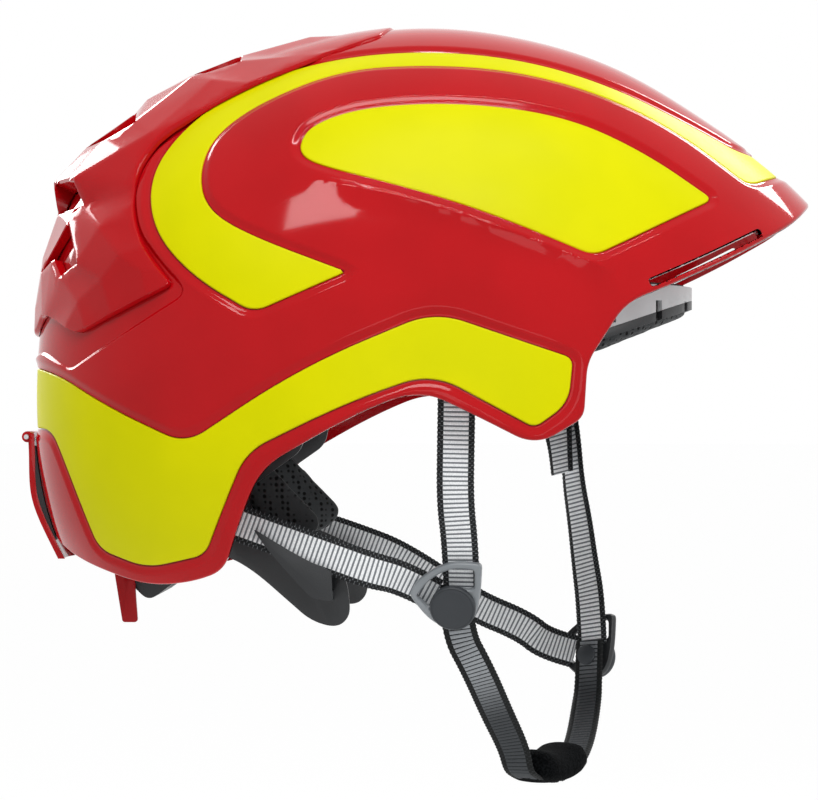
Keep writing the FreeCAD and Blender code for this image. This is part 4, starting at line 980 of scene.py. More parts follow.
# ------------------------------------------------------------------------------ vent cover
@dataclass
class VentCover:
    """The faceted cover over the rear vents: a net of corners with heights over the round shell."""

    wall: float = 2.2
    foot: float = -0.55
    edge_round: float = 0.9
    crease_round: float = 0.45
    least: float = 1.0
    outline: Points = (
        (-3, 185, 0), (-3, 152, 0), (-10, 141.5, 2), (-64, 119.5), (-92, 101), (-103, 84), (-101, 66),
        (-95, 55, 8), (-85, 43, 3), (-124, 25, 4), (-140.5, 33.5, 3), (-147.5, 25, 2), (-175, 22, 0),
        (-175, 185, 0))
    corners: dict = field(default_factory=lambda: {
        # crest on the middle plane, from the front tip to the rear lip: place and height over the shell
        "tip": (0, 0, 149, 1.0), "crest_a": (-38.8, 0, 144, 2.8), "crest_b": (-64.4, 0, 137, 3.4),
        "crest_c": (-86.9, 0, 128, 4.2), "crest_d": (-106, 0, 113.6, 2.4), "crest_e": (-124, 0, 98, 5.2),
        "peak": (-137, 0, 84.5, 9.5), "notch_mid": (-138.5, 0, 74.5, 2.6), "back_a": (-144.0, 0, 57, 1.8),
        "back_b": (-147.4, 0, 38.5, 1.2), "lip_mid": (-149, 0, 20, 1.0),
        # plateau beside it
        "flat_a": (-38.6, 10, 143, 3.0), "flat_b": (-66.3, 10.5, 135, 4.0), "flat_c": (-85.6, 10.5, 127, 4.8),
        "flat_d": (-107, 13, 112, 3.4), "flat_e": (-123.5, 14, 97, 6.4), "peak_side": (-136.5, 13, 84, 9.0),
        "notch_low": (-138.2, 14, 73.8, 2.2), "back_side_a": (-142.8, 17, 56, 3.0),
        "back_side_b": (-146, 19, 36, 2.4),
        # beyond the edge beside the crown stripe
        "tip_side": (0, 30, 141, 1.0), "edge_a": (-27, 44, 134, 1.6), "edge_b": (-60, 49, 121, 1.7),
        "edge_c": (-78, 57, 108, 1.7), "edge_d": (-89, 66, 94, 1.7), "edge_e": (-94, 74, 82, 1.7),
        "edge_f": (-96, 78, 71, 1.7), "edge_g": (-94, 84, 60, 1.7), "edge_h": (-84, 92, 49, 1.7),
        "foot": (-76, 96, 40, 1.7),
        # beyond the lower edge
        "low_a": (-95, 90, 27, 1.8), "low_b": (-107, 82, 22, 1.8), "low_c": (-120, 74, 18, 1.8),
        "low_d": (-133.5, 55, 24, 1.8), "low_e": (-142, 37, 29, 1.8), "lip_side": (-147.8, 18, 20, 1.2),
        # ridges between the facets
        "first_front": (-64.5, 24.5, 130, 3.2), "first_rear": (-77.5, 24.5, 124.5, 4.4),
        "bright_top": (-73.6, 36.5, 121.5, 3.4), "bright_in": (-82, 24.5, 121.5, 5.2),
        "bright_left": (-100.4, 14.5, 114.9, 5.2), "second_front": (-101.1, 38.5, 103.2, 5.4),
        "second_rear": (-112, 34.5, 96.2, 6.6), "bright_side": (-94.9, 52.8, 99.6, 4.6),
        "bright_low": (-105.2, 51, 93, 5.6), "ridge": (-121.6, 41, 80.6, 8.8),
        "notch_side": (-119.6, 46.5, 72.6, 2.4), "slope_a": (-111.5, 64, 63.5, 4.2),
        "slope_b": (-103.6, 77, 53.4, 5.0), "slope_c": (-95.8, 84, 48.2, 3.6), "slope_d": (-112, 73.5, 45.4,
        4.4),
        "slope_e": (-122.8, 64.6, 37.4, 3.4),
        # third opening: an arrow
        "arrow_top": (-125.2, 44.5, 66.2, 3.8), "arrow_left": (-137.2, 27, 49, 3.4),
        "arrow_in": (-128.6, 39, 51.8, 3.6), "arrow_low": (-122.8, 47.5, 44.6, 3.6),
        "arrow_right": (-115.2, 57, 48.6, 4.8)})
    facets: tuple = (
        "tip crest_a flat_a tip_side", "tip_side flat_a edge_a", "crest_a crest_b flat_b flat_a",
        "flat_a flat_b first_front edge_a", "first_front edge_b edge_a", "crest_b crest_c flat_c flat_b",
        "first_front first_rear bright_top edge_b", "first_rear flat_c bright_in bright_top",
        "crest_c crest_d flat_d bright_left flat_c", "flat_c bright_left bright_in",
        "bright_in bright_left flat_d second_front", "bright_in second_front bright_side bright_top",
        "bright_top bright_side edge_d edge_c", "bright_top edge_c edge_b",
        "second_front second_rear bright_low bright_side", "second_rear ridge bright_low",
        "second_rear flat_e peak_side ridge", "crest_d crest_e flat_e flat_d",
        "crest_e peak peak_side flat_e",
        "peak notch_mid notch_low peak_side", "notch_mid back_a back_side_a notch_low",
        "back_a back_b back_side_b back_side_a", "back_b lip_mid lip_side back_side_b",
        "bright_side bright_low edge_e edge_d", "bright_low ridge notch_side slope_a edge_f edge_e",
        "slope_a slope_b edge_g edge_f", "slope_b slope_c edge_h edge_g", "slope_c low_a foot edge_h",
        "slope_b slope_d slope_c", "slope_d low_b low_a slope_c", "slope_d slope_e low_c low_b",
        "slope_e low_d low_c", "notch_low arrow_top notch_side", "notch_low back_side_a arrow_left arrow_top",
        "notch_side arrow_top arrow_right slope_a", "slope_a arrow_right slope_d slope_b",
        "arrow_right arrow_low slope_e slope_d", "back_side_a back_side_b low_e arrow_left",
        "arrow_left low_e arrow_in", "arrow_in low_e low_d slope_e arrow_low", "back_side_b lip_side low_e",
        "flat_b flat_c first_rear first_front", "flat_d flat_e second_rear second_front",
        "peak_side notch_low notch_side ridge", "arrow_top arrow_left arrow_in arrow_low arrow_right")
    wells: tuple = (
        "flat_b flat_c first_rear first_front", "flat_d flat_e second_rear second_front",
        "peak_side notch_low notch_side ridge", "arrow_top arrow_left arrow_in arrow_low arrow_right")

    def __post_init__(self) -> None:
        """Lay the corners on the shell and split the facets into triangles."""
        rows = np.array([corner[:3] for corner in self.corners.values()], float)
        self.flat = dict(zip(self.corners, FORM.land(rows)))
        self.plane = dict(zip(self.corners, FORM.spread(FORM.land(rows))))
        triangles = []
        for facet in self.facets:
            names = facet.split()
            ring = [Vector((*self.plane[name], 0)) for name in names]
            for corners in geometry.tessellate_polygon([ring]):
                triangles.append([names[corner] for corner in corners])
        self.net = np.array([[self.plane[name] for name in triangle] for triangle in triangles])
        base = FORM.on_surface(np.array(list(self.flat.values())))
        lifts = np.array([corner[3] for corner in self.corners.values()], float)
        stand = dict(zip(self.corners, base + FORM.normals(base) * lifts[:, None]))
        self.places = np.array([[stand[name] for name in triangle] for triangle in triangles])
        self.edge = Seam(self.outline)
        self.openings = [np.array([self.flat[name] for name in well.split()]) for well in self.wells]

    def _on_net(self, plane: np.ndarray) -> np.ndarray:
        """Points on the flat facets over places of the spread plane."""
        first, second, third = self.net[:, 0], self.net[:, 1], self.net[:, 2]
        run, rise = second - first, third - first
        area = run[:, 0] * rise[:, 1] - run[:, 1] * rise[:, 0]
        offset = plane[:, None] - first[None]
        a = (offset[..., 0] * rise[:, 1] - offset[..., 1] * rise[:, 0]) / area
        b = (run[:, 0] * offset[..., 1] - run[:, 1] * offset[..., 0]) / area
        best = np.minimum(np.minimum(a, b), 1 - a - b).argmax(axis=1)
        rows = np.arange(len(plane))
        a, b = a[rows, best][:, None], b[rows, best][:, None]
        return (1 - a - b) * self.places[best, 0] + a * self.places[best, 1] + b * self.places[best, 2]

    def _lift(self, flat: np.ndarray, base: np.ndarray, outward: np.ndarray) -> np.ndarray:
        """Height of the facets over the shell, with their creases a little rounded."""
        plane = FORM.spread(flat)
        total = 2 * self._on_net(plane)
        for turn in np.arange(6) * math.pi / 3:
            total += self._on_net(plane + self.crease_round * np.array([math.cos(turn), math.sin(turn)]))
        return np.maximum(np.sum((total / 8 - base) * outward, axis=1), self.least)

    def _well_gap(self, flat: np.ndarray) -> np.ndarray:
        """Distance from the nearest opening's edge in the spread plane."""
        plane = FORM.spread(flat)
        best = np.full(len(flat), np.inf)
        for opening in self.openings:
            ring = FORM.spread(opening)
            for start, end in zip(ring, np.roll(ring, -1, axis=0)):
                run = end - start
                share = np.clip(((plane - start) @ run) / (run @ run), 0, 1)
                best = np.minimum(best, np.linalg.norm(plane - start - share[:, None] * run, axis=1))
        return best

    def _height(self, flat: np.ndarray, base: np.ndarray, outward: np.ndarray) -> np.ndarray:
        """Height of the outer face, rounded at the outline and the openings."""
        gap = np.minimum(np.abs(self.edge.distance(base, flat)[0]), self._well_gap(flat))
        near = np.clip(1 - gap / self.edge_round, 0, 1)
        return self._lift(flat, base, outward) - self.edge_round * (1 - np.sqrt(np.maximum(0, 1 - near ** 2)))

    def _net_lines(self) -> tuple[list[np.ndarray], list[np.ndarray]]:
        """The openings' edges as closed lines, and rows along every crease."""
        rings = []
        for opening in self.openings:
            ring = []
            for start, end in zip(opening, np.roll(opening, -1, axis=0)):
                ring += [start, *straight(start, end, 1.1)]
            rings.append(np.array(ring + [ring[0]]))
        creases = []
        for facet in self.facets:
            names = facet.split()
            for one, other in zip(names, names[1:] + names[:1]):
                start, end = self.plane[one], self.plane[other]
                run = end - start
                side = np.array([-run[1], run[0]]) / np.linalg.norm(run)
                line = np.array([start, *straight(start, end, 1.3), end])
                creases += [FORM.gather(line + side * away) for away in (0.0, -0.9, 0.9)]
        return rings, creases

    def build(self, red: bpy.types.Material) -> bpy.types.Object:
        """Make the cover.

        Args:
            red: its material.

        Returns:
            The finished cover.
        """
        line = max(self.edge.spaced(1.3), key=len)
        rings, creases = self._net_lines()
        loops = [line, Shell.crown_between(line[0], line[-1]), *rings]

        def keep(flat: np.ndarray) -> np.ndarray:
            """True within the outline and outside the openings."""
            hollow = np.zeros(len(flat), bool)
            for opening in self.openings:
                hollow |= holds(opening, flat)
            return (FORM.share(flat) < 1) & holds(self.edge.polygon, flat) & ~hollow

        rows = []
        groups = [self.edge.rows(1.3, (-0.2, -0.45, -0.9)), creases]
        for group in groups:
            for row in group:
                row = Shell.clear_of(row[keep(row)], loops + rows, 0.35) if len(row) else row
                if len(row):
                    rows.append(row)
        fill = Shell.clear_of(even_points(3.0), loops + rows, 1.7)
        flat, faces = triangles_over(loops, np.vstack(rows + [fill[keep(fill)]]), keep)
        base = FORM.on_surface(flat)
        outward = FORM.normals(base)
        height = self._height(flat, base, outward)
        points = base + outward * height[:, None]
        near_well = smooth(1 - self._well_gap(flat) / 2.5)
        under = (height - self.wall) * (1 - near_well) + self.foot * near_well
        under = np.minimum(np.maximum(under, self.foot), height - 0.8)
        points, faces, _ = joined_walls((points, faces, outward),
                                        (base + outward * under[:, None], faces, -outward),
                                        base, base)
        points, faces, _ = both_halves(points, faces, points)
        piece = new_piece("vent_cover", points, faces, red)
        smooth_under(piece, 32.0)
        return settle(piece, "root", "shell_red", "rear_vent_cover")


# ------------------------------------------------------------------------------ webbing
@dataclass(frozen=True)
class Weave:
    """Finish of a ribbed webbing.

    Colours are linear. Over a stretch along the strap, from the first to the second of its two distances in
    mm, the ribs darken from the rib colour to their own darker colour; on the dark webbing the lighter ribs
    before that stretch are a painted sheen highlight.
    """

    name: str
    rib: Colour
    groove: Colour
    selvedge: Colour
    fleck: Colour
    # colour of the ribs past the painted sheen highlight, and the stretch in mm over which that painted sheen
    # falls off
    past_painted_sheen: Colour = (0.0, 0.0, 0.0)
    painted_sheen_fall_from: float = 1000.0
    painted_sheen_fall_to: float = 1001.0
    roughness: float = 0.62
    thin: float = 0.35


RIB_PITCH = 1.76
SELVEDGE = 2.3


def webbing_material(look: Weave, width: float) -> bpy.types.Material:
    """Material of a webbing whose UV map holds millimetres along and across it.

    Args:
        look: its colours.
        width: the webbing's width in mm.

    Returns:
        The material.
    """
    finish = Finish(look.name)
    parts = finish.add("ShaderNodeSeparateXYZ", {}, {0: finish.add("ShaderNodeTexCoord", output="UV")})
    along = Socket(finish, parts.value.node.outputs["X"])
    across = Socket(finish, parts.value.node.outputs["Y"]).size()
    turn = (along * (TURN / RIB_PITCH)).cosine()
    yarn = finish.noise(0.45, 2.0)
    groove = (turn + (yarn - 0.5) * 0.5).ramp(look.thin, look.thin + 0.57)
    # the ribs darken over that stretch along the strap: the lighter ribs before it are a painted sheen
    # highlight
    past_painted_sheen = along.ramp(look.painted_sheen_fall_from, look.painted_sheen_fall_to)
    rib = finish.mix(past_painted_sheen, look.rib, look.past_painted_sheen)
    body = finish.mix(groove, finish.mix(yarn.ramp(0.35, 0.75) * 0.2, rib, look.groove), look.groove)
    inner = across.ramp(width / 2 - 1.3, width / 2 - 1.1)
    phase = ((along * (TURN / RIB_PITCH)) + inner * math.pi).cosine()
    knob = finish.mix(phase.ramp(0.55, 0.98) * yarn.ramp(0.4, 0.6), look.selvedge, look.fleck)
    edge = across.ramp(width / 2 - SELVEDGE - 0.15, width / 2 - SELVEDGE + 0.1)
    finish.surface(Base_Color=finish.mix(edge, body, knob), Roughness=look.roughness + yarn * 0.15,
                   Normal=finish.bump(yarn, 0.05), Specular_IOR_Level=0.25)
    return finish.material


@dataclass
class Webbing:
    """A flat woven strap along a route of (x, y, z) and across directions, with real ribs."""

    name: str
    node: str
    body: str
    slot: str
    route: tuple
    width: float = 14.0
    half: float = 0.8
    offset: float = 0.0

    def _line(self) -> tuple[np.ndarray, np.ndarray, np.ndarray]:
        """Even points, across directions and distances along the smoothed route."""
        places = np.array([row[0] for row in self.route], float)
        across = np.array([row[1] for row in self.route], float)
        across /= np.linalg.norm(across, axis=1)[:, None]
        rows = np.hstack([places, across])
        ends = [rows[0], *[(rows[i] + rows[i + 1]) / 2 for i in range(1, len(rows) - 2)], rows[-1]]
        line = [rows[0]]
        for start, corner, end in zip(ends, rows[1:-1], ends[1:]):
            for step in range(1, 25):
                t = step / 24
                line.append(start * (1 - t) ** 2 + corner * (2 * t * (1 - t)) + end * t ** 2)
        line = np.array(line)
        run = np.concatenate([[0], np.cumsum(np.linalg.norm(np.diff(line[:, :3], axis=0), axis=1))])
        count = int(run[-1] / RIB_PITCH * 4) + 1
        where = np.linspace(0, run[-1], count)
        even = np.stack([np.interp(where, run, line[:, k]) for k in range(6)], axis=1)
        return even[:, :3], even[:, 3:], where

    def _section(self, where: float) -> list[tuple[float, float]]:
        """Half section at a distance along: (across, height) from one edge over the top to the other."""
        turn = TURN * (where + self.offset) / RIB_PITCH
        groove = max(0.0, math.cos(turn)) ** 2
        knob = 0.5 - 0.5 * math.cos(turn)
        other = 1 - knob
        rib = self.half - 0.26 * groove
        edge = self.width / 2
        side = [(edge - 0.15 + 0.25 * knob, 0.0), (edge - 0.5, self.half * 0.55 + 0.3 * knob),
                (edge - 1.15, self.half * 0.72), (edge - 1.7, self.half * 0.75 + 0.3 * other),
                (edge - SELVEDGE, self.half * 0.7), (edge - SELVEDGE - 0.4, rib), (edge * 0.4, rib)]
        return side + [(0.0, rib)] + [(-v, h) for v, h in reversed(side)]

    def build(self, look: bpy.types.Material) -> bpy.types.Object:
        """Make the strap.

        Args:
            look: its material.

        Returns:
            The finished strap.
        """
        places, across, where = self._line()
        along = np.gradient(places, axis=0)
        along /= np.linalg.norm(along, axis=1)[:, None]
        across = across - along * np.sum(across * along, axis=1)[:, None]
        across /= np.linalg.norm(across, axis=1)[:, None]
        proud = np.cross(along, across)
        points, chart = [], []
        for i, distance in enumerate(where):
            top = self._section(distance)
            ring = top + [(v, -h) for v, h in reversed(top[1:-1])]
            for v, h in ring:
                points.append(places[i] + across[i] * v + proud[i] * h)
                chart.append((distance + self.offset, v))
        size = len(ring)
        faces = tube_faces(len(where), size)
        last = (len(where) - 1) * size
        faces += [list(range(size))[::-1], [last + j for j in range(size)]]
        piece = new_piece(self.name, np.array(points), faces, look)
        layer = piece.data.uv_layers.new(name="lengths")
        for loop in piece.data.loops:
            layer.data[loop.index].uv = chart[loop.vertex_index]
        smooth_under(piece, 60.0)
        return settle(piece, self.body, self.slot, self.node)


SLOPE = (0.36, 0, 0.93)
RIGHT_X, RIGHT_IN = (0.99, -0.131, -0.042), (7.923, -5.965, 14.887)
LEFT_X, LEFT_IN = (0.865, -0.487, 0.116), (2.942, 0.983, 11.485)
CHIN_ACROSS = (0.918, -0.396, 0)
UPPER_STRAPS = (
    Webbing("front_webbing_right", "front_strap_right", "root", "webbing_light", (
        ((21, -95.4, 15), (1, 0, 0)), ((21, -95.4, 1), (1, 0, 0)), ((20.6, -92, -17), (1, 0, 0)),
        ((20.2, -86, -38), (1, 0, 0)), ((22, -79.7, -54.5), RIGHT_X), ((22.5, -74.5, -71.2), RIGHT_X))),
    Webbing("rear_webbing_right", "rear_strap_right", "root", "webbing_light", (
        ((-91, -75.2, -35), SLOPE), ((-76, -75.2, -41.5), SLOPE), ((-64, -76, -45.6), SLOPE),
        ((-45, -75.6, -52.5), SLOPE), ((-25, -75.6, -59.5), SLOPE), ((-12, -75.8, -64.2), SLOPE),
        ((0.3, -71.4, -67.2), RIGHT_IN), ((12.6, -71.3, -73.8), RIGHT_IN))),
    Webbing("front_webbing_left", "front_strap_left", "root", "webbing_light", (
        ((60, 92, 13), (1, 0, 0)), ((60.5, 91.8, -3), (1, -0.04, 0)), ((66, 88.5, -16), (0.559, -0.829, 0)),
        ((66.9, 85.5, -34), (0.643, -0.766, 0)), ((69.8, 83, -52), (0.743, -0.669, 0)),
        ((71.8, 79.5, -69), (0.788, -0.616, 0)), ((74.1, 73.7, -85), LEFT_X), ((74.7, 69.2, -102.8),
        LEFT_X))),
    Webbing("rear_webbing_left", "rear_strap_left", "root", "webbing_light", (
        ((-91, 75.2, -35), SLOPE), ((-76, 75.2, -41.5), SLOPE), ((-64, 76, -45.6), SLOPE),
        ((-45, 75.6, -52.5), SLOPE), ((-24, 75.6, -59.5), SLOPE), ((-6, 77.2, -66.5), (0.5, 0, 0.87)),
        ((24, 82, -87), (0.5, 0, 0.87)), ((46, 82.5, -96), (0.4, 0, 0.92)), ((55.1, 79.9, -103.5), LEFT_IN),
        ((67.3, 72.9, -106.0), LEFT_IN))),
    Webbing("tail_webbing", "strap_tail", "root", "webbing_light", (
        ((58.5, 89.9, 7), (1, -0.02, 0)), ((58, 89.8, -2), (1, -0.06, 0)), ((60.6, 86.2, -13), (0.829,
        -0.559, 0)),
        ((61.6, 84, -23), (0.669, -0.743, 0)), ((62.2, 82.6, -31), (0.643, -0.766, 0)))))
LOWER_STRAPS = (
    Webbing("lower_webbing_right", "chin_strap_right", "chin_loop", "webbing_dark", (
        ((20.6, -73.6, -70.2), RIGHT_X), ((20.1, -67.9, -87), RIGHT_X), ((28.5, -62, -103), (1, -0.1, 0.25)),
        ((35.5, -44, -121), (0.95, -0.2, 0.3)), ((42, -30, -136), (0.92, -0.3, 0.2)),
        ((43.8, -25.8, -145.3), CHIN_ACROSS), ((46.5, -19.7, -148), CHIN_ACROSS),
        ((49.3, -13.2, -150), CHIN_ACROSS), ((52.1, -6.7, -151.2), CHIN_ACROSS),
        ((54, -2.2, -151.6), CHIN_ACROSS)), 13.0, 0.75),
    Webbing("lower_webbing_left", "chin_strap_left", "chin_loop", "webbing_dark", (
        ((73.5, 69, -101.1), LEFT_X), ((73.1, 65.1, -118.4), LEFT_X), ((72, 57.5, -127), (0.9, -0.4, 0)),
        ((69.5, 41, -138.5), (0.9, -0.4, 0)), ((66.2, 25.8, -145.3), CHIN_ACROSS),
        ((63.5, 19.7, -148), CHIN_ACROSS), ((60.7, 13.2, -150), CHIN_ACROSS),
        ((57.9, 6.7, -151.2), CHIN_ACROSS), ((56, 2.2, -151.6), CHIN_ACROSS)), 13.0, 0.75, 42.0))
WEBBING_LIGHT = Weave("webbing_light", (0.92, 0.935, 0.95), (0.17, 0.185, 0.20), (0.006, 0.007, 0.008),
                      (0.16, 0.17, 0.18), thin=0.02)
# dark webbing: light grey ribs up to 30 mm along are a painted sheen highlight, darkening to their own dark
# grey by 68 mm
WEBBING_DARK = Weave("webbing_dark", (0.34, 0.36, 0.38), (0.012, 0.014, 0.016), (0.004, 0.005, 0.005),
                     (0.03, 0.032, 0.035), (0.050, 0.055, 0.060), 30.0, 68.0)


# ------------------------------------------------------------------------------ strap dividers
@dataclass
class Divider:
    """A D-shaped strap frame and the round disc riveted over its foot."""

    side: str
    centre: tuple[float, float, float]
    normal: tuple[float, float, float]
    thickness: float = 3.4
    edge: float = 0.95
    disc_radius: float = 8.7
    disc_thickness: float = 3.0
    seat: float = 0.15
    stud_radius: float = 2.5
    line: Points = (
        (-17, 3.9, 2), (-13.8, 9.8), (-5.4, 15.9), (1.2, 17.6), (10.8, 17.4, 2.2), (10.2, 5.1), (8.4, -3.9),
        (4.5, -8.8), (-5.4, -8.4), (-10.2, -5.1), (-14.7, 0.4))
    opening: Points = (
        (-14.2, 3.2, 1), (-10.2, 8.9), (-4.8, 13.1), (0.8, 15.2), (8.0, 14.9, 1.5), (7.9, 7.2, 1), (4.6, 6.6),
        (0, 7.6), (-4.6, 6.4), (-7.2, 2.4), (-7.8, -2.6, 1))

    def _stand(self, piece: bpy.types.Object) -> None:
        """Put a piece made flat about the origin in its place, with up along +Y before."""
        front = Vector((1, 0, 0))
        normal = Vector(self.normal).normalized()
        front = (front - normal * front.dot(normal)).normalized()
        up = normal.cross(front)
        if up.z < 0:
            up = -up
        turn = Matrix((front, up, normal)).transposed().to_4x4()
        piece.data.transform(Matrix.Translation(Vector(self.centre) * MM) @ turn)
        if turn.determinant() < 0:
            choose(piece)
            bpy.ops.object.mode_set(mode="EDIT")
            bpy.ops.mesh.select_all(action="SELECT")
            bpy.ops.mesh.flip_normals()
            bpy.ops.object.mode_set(mode="OBJECT")

    def build_frame(self, look: bpy.types.Material) -> bpy.types.Object:
        """Make the frame: a plate with rounded rims.

        Args:
            look: its material.

        Returns:
            The finished frame.
        """
        outer = rounded(self.line, 0.7)
        inner = rounded(self.opening, 0.7)
        stud = [self.stud_radius * np.array([math.cos(a), math.sin(a)]) * 1.1
                for a in np.arange(24) * TURN / 24]
        bands = []
        for ring, inward in ((outer, 1), (inner, -1), (np.array(stud), -1)):
            turn = np.roll(ring, -1, axis=0) - np.roll(ring, 1, axis=0)
            way = np.stack([-turn[:, 1], turn[:, 0]], axis=1) / np.linalg.norm(turn, axis=1)[:, None]
            area = np.sum(ring[:, 0] * np.roll(ring[:, 1], -1) - np.roll(ring[:, 0], -1) * ring[:, 1])
            bands.append((ring, way * inward * (1 if area > 0 else -1)))
        depth = self.thickness / 2
        profile = [(self.edge * (1 - math.cos(a)), depth - self.edge * (1 - math.sin(a)))
                   for a in np.linspace(0, math.pi / 2, 6)]
        points, faces, rims = [], [], []
        for ring, way in bands:
            rows = []
            for away, height in [(0.0, -depth + self.edge)] + profile:
                start = len(points)
                away = min(away, self.edge)
                points += [(*(ring[k] + way[k] * away), height) for k in range(len(ring))]
                rows.append(range(start, start + len(ring)))
            back = len(points)
            points += [(*(ring[k] + way[k] * self.edge * 0.6), -depth) for k in range(len(ring))]
            rows.insert(0, range(back, back + len(ring)))
            for low, high in zip(rows, rows[1:]):
                for k in range(len(ring)):
                    after = (k + 1) % len(ring)
                    faces.append([low[k], low[after], high[after], high[k]])
            rims.append((rows[0], rows[-1]))
        for which in (0, 1):
            loops = [[Vector((points[i][0], points[i][1], 0)) for i in rim[which]] for rim in rims]
            numbers = [i for rim in rims for i in rim[which]]
            faces += [[numbers[c] for c in corner] for corner in geometry.tessellate_polygon(loops)]
        piece = new_piece(f"strap_frame_{self.side}", np.array(points), faces, look)
        face_outward(piece)
        self._stand(piece)
        smooth_under(piece, 40.0)
        return settle(piece, "root", "black_plastic" if self.side == "left" else "frame_grey",
                      f"divider_{self.side}")

    def build_disc(self, look: bpy.types.Material) -> bpy.types.Object:
        """Make the domed disc with its stud and washer.

        Args:
            look: its material.

        Returns:
            The finished disc.
        """
        base = self.thickness / 2 + self.seat
        top = base + self.disc_thickness
        stud_end = -self.thickness / 2 - 1.3 - 1.6 - 0.9
        radius = self.disc_radius
        profile = [(0, top + 0.15), (2.6, top + 0.12), (4.8, top + 0.02), (6.6, top - 0.2), (7.5, top - 0.32),
                   (7.75, top - 0.5), (7.95, top - 0.5), (8.1, top - 0.34), (radius - 0.25, top - 0.55),
                   (radius, top - 0.95), (radius, base + 0.4), (radius - 0.35, base), (self.stud_radius,
                   base),
                   (self.stud_radius, stud_end), (self.stud_radius + 1.5, stud_end),
                   (self.stud_radius + 1.6, stud_end - 0.1), (self.stud_radius + 1.6, stud_end - 0.85),
                   (self.stud_radius + 1.4, stud_end - 1), (0, stud_end - 1)]
        piece = turned(f"strap_disc_{self.side}", profile, look)
        self._stand(piece)
        smooth_under(piece, 45.0)
        return settle(piece, "root", "disc_grey", f"disc_{self.side}")


def turned(name: str, profile: Sequence[tuple[float, float]], look: bpy.types.Material,
           steps: int = 72) -> bpy.types.Object:
    """Solid of revolution about +Z.

    Args:
        name: the piece's name.
        profile: (radius, height) from the top of the axis to its bottom.
        look: its material.
        steps: sides of the round.

    Returns:
        The new object.
    """
    points = [(0, 0, profile[0][1])]
    angles = np.arange(steps) * TURN / steps
    for radius, height in profile[1:-1]:
        points += [(radius * math.cos(a), radius * math.sin(a), height) for a in angles]
    points.append((0, 0, profile[-1][1]))
    rows = len(profile) - 2
    faces = [[0, 1 + k, 1 + (k + 1) % steps] for k in range(steps)]
    for row in range(rows - 1):
        low = 1 + row * steps
        faces += [[low + k, low + steps + k, low + steps + (k + 1) % steps, low + (k + 1) % steps]
                  for k in range(steps)]
    low = 1 + (rows - 1) * steps
    faces += [[low + k, len(points) - 1, low + (k + 1) % steps] for k in range(steps)]
    return new_piece(name, np.array(points), faces, look)


# ------------------------------------------------------------------------------ pads
@dataclass(frozen=True)
class Cloth:
    """A fabric over a pad: mesh with open holes, or fleece.

    size is the hole's or tuft's width in mm.
    """

    name: str
    low: Colour
    high: Colour
    size: float
    depth: float
    holes: bool
    sheen: float = 0.15
    gloss: float = 0.06


def cloth_material(look: Cloth) -> bpy.types.Material:
    """Material of a pad's fabric.

    Args:
        look: the fabric.

    Returns:
        The material.
    """
    finish = Finish(look.name)
    finish.shader.inputs["Sheen Weight"].default_value = look.sheen
    finish.shader.inputs["Specular IOR Level"].default_value = look.gloss
    fibre = finish.noise(0.3 if look.holes else look.size * 0.45, 3.0)
    if look.holes:
        cell = finish.add("ShaderNodeTexVoronoi", {"feature": "F1"},
                          {"Vector": finish.place(), "Scale": 1000.0 / look.size, "Randomness": 0.12})
        height = cell.ramp(0.18, 0.46) * (fibre * 0.3 + 0.7)
    else:
        tuft = finish.noise(look.size, 3.0)
        height = tuft.ramp(0.3, 0.72) * 0.6 + fibre * 0.4
    finish.surface(Base_Color=finish.mix(height.ramp(0.1, 0.9), look.low, look.high), Roughness=0.82,
                   Normal=finish.bump(height, look.depth))
    return finish.material


@dataclass
class Pad:
    """A soft pad, blown up from a slightly smaller copy of the space it holds."""

    name: str
    node: str
    body: str
    slot: str
    voxel: float = 2.6
    shrink: float = 0.5
    reach: float = 1.2
    fill: float = 0.6
    cut: Optional[tuple] = None

    def _source(self, look: bpy.types.Material) -> bpy.types.Object:
        """Copy of the node's solid, merged."""
        piece = merged_copy(self.node, self.name, look, (self.cut,) if self.cut else ())
        face_outward(piece)
        return piece

    def build(self, look: bpy.types.Material) -> bpy.types.Object:
        """Make the pad.

        Args:
            look: its fabric.

        Returns:
            The finished pad.
        """
        piece = self._source(look)
        apply_modifier(piece, "REMESH", mode="VOXEL", voxel_size=self.voxel * MM)
        apply_modifier(piece, "DISPLACE", strength=-self.shrink * MM, mid_level=0.0)
        swell(piece, self.reach)
        apply_modifier(piece, "SMOOTH", factor=0.5, iterations=2)
        apply_modifier(piece, "SUBSURF", levels=1, render_levels=1)
        piece.data.shade_smooth()
        return settle(piece, self.body, self.slot, self.node)


def swell(piece: bpy.types.Object, reach: float, pressure: float = 4.0, frames: int = 20) -> None:
    """Blow a closed mesh up as fabric.

    Args:
        piece: the piece, changed in place.
        reach: farthest that a point may move, in mm.
        pressure: inside pressure.
        frames: frames that the fabric is given.
    """
    scene = bpy.context.scene
    modifier = piece.modifiers.new("blown", "CLOTH")
    modifier.settings.use_pressure = True
    modifier.settings.uniform_pressure_force = pressure
    modifier.settings.effector_weights.gravity = 0
    modifier.point_cache.frame_end = frames
    start = np.array([vertex.co for vertex in piece.data.vertices])
    for number in range(1, frames + 1):
        scene.frame_set(number)
    shaped = piece.evaluated_get(bpy.context.evaluated_depsgraph_get())
    move = np.array([vertex.co for vertex in shaped.data.vertices]) - start
    far = np.linalg.norm(move, axis=1)
    move *= (np.minimum(far, reach * MM) / np.maximum(far, 1e-9))[:, None]
    piece.modifiers.remove(modifier)
    piece.data.vertices.foreach_set("co", (start + move).ravel())
    piece.data.update()
    scene.frame_set(1)


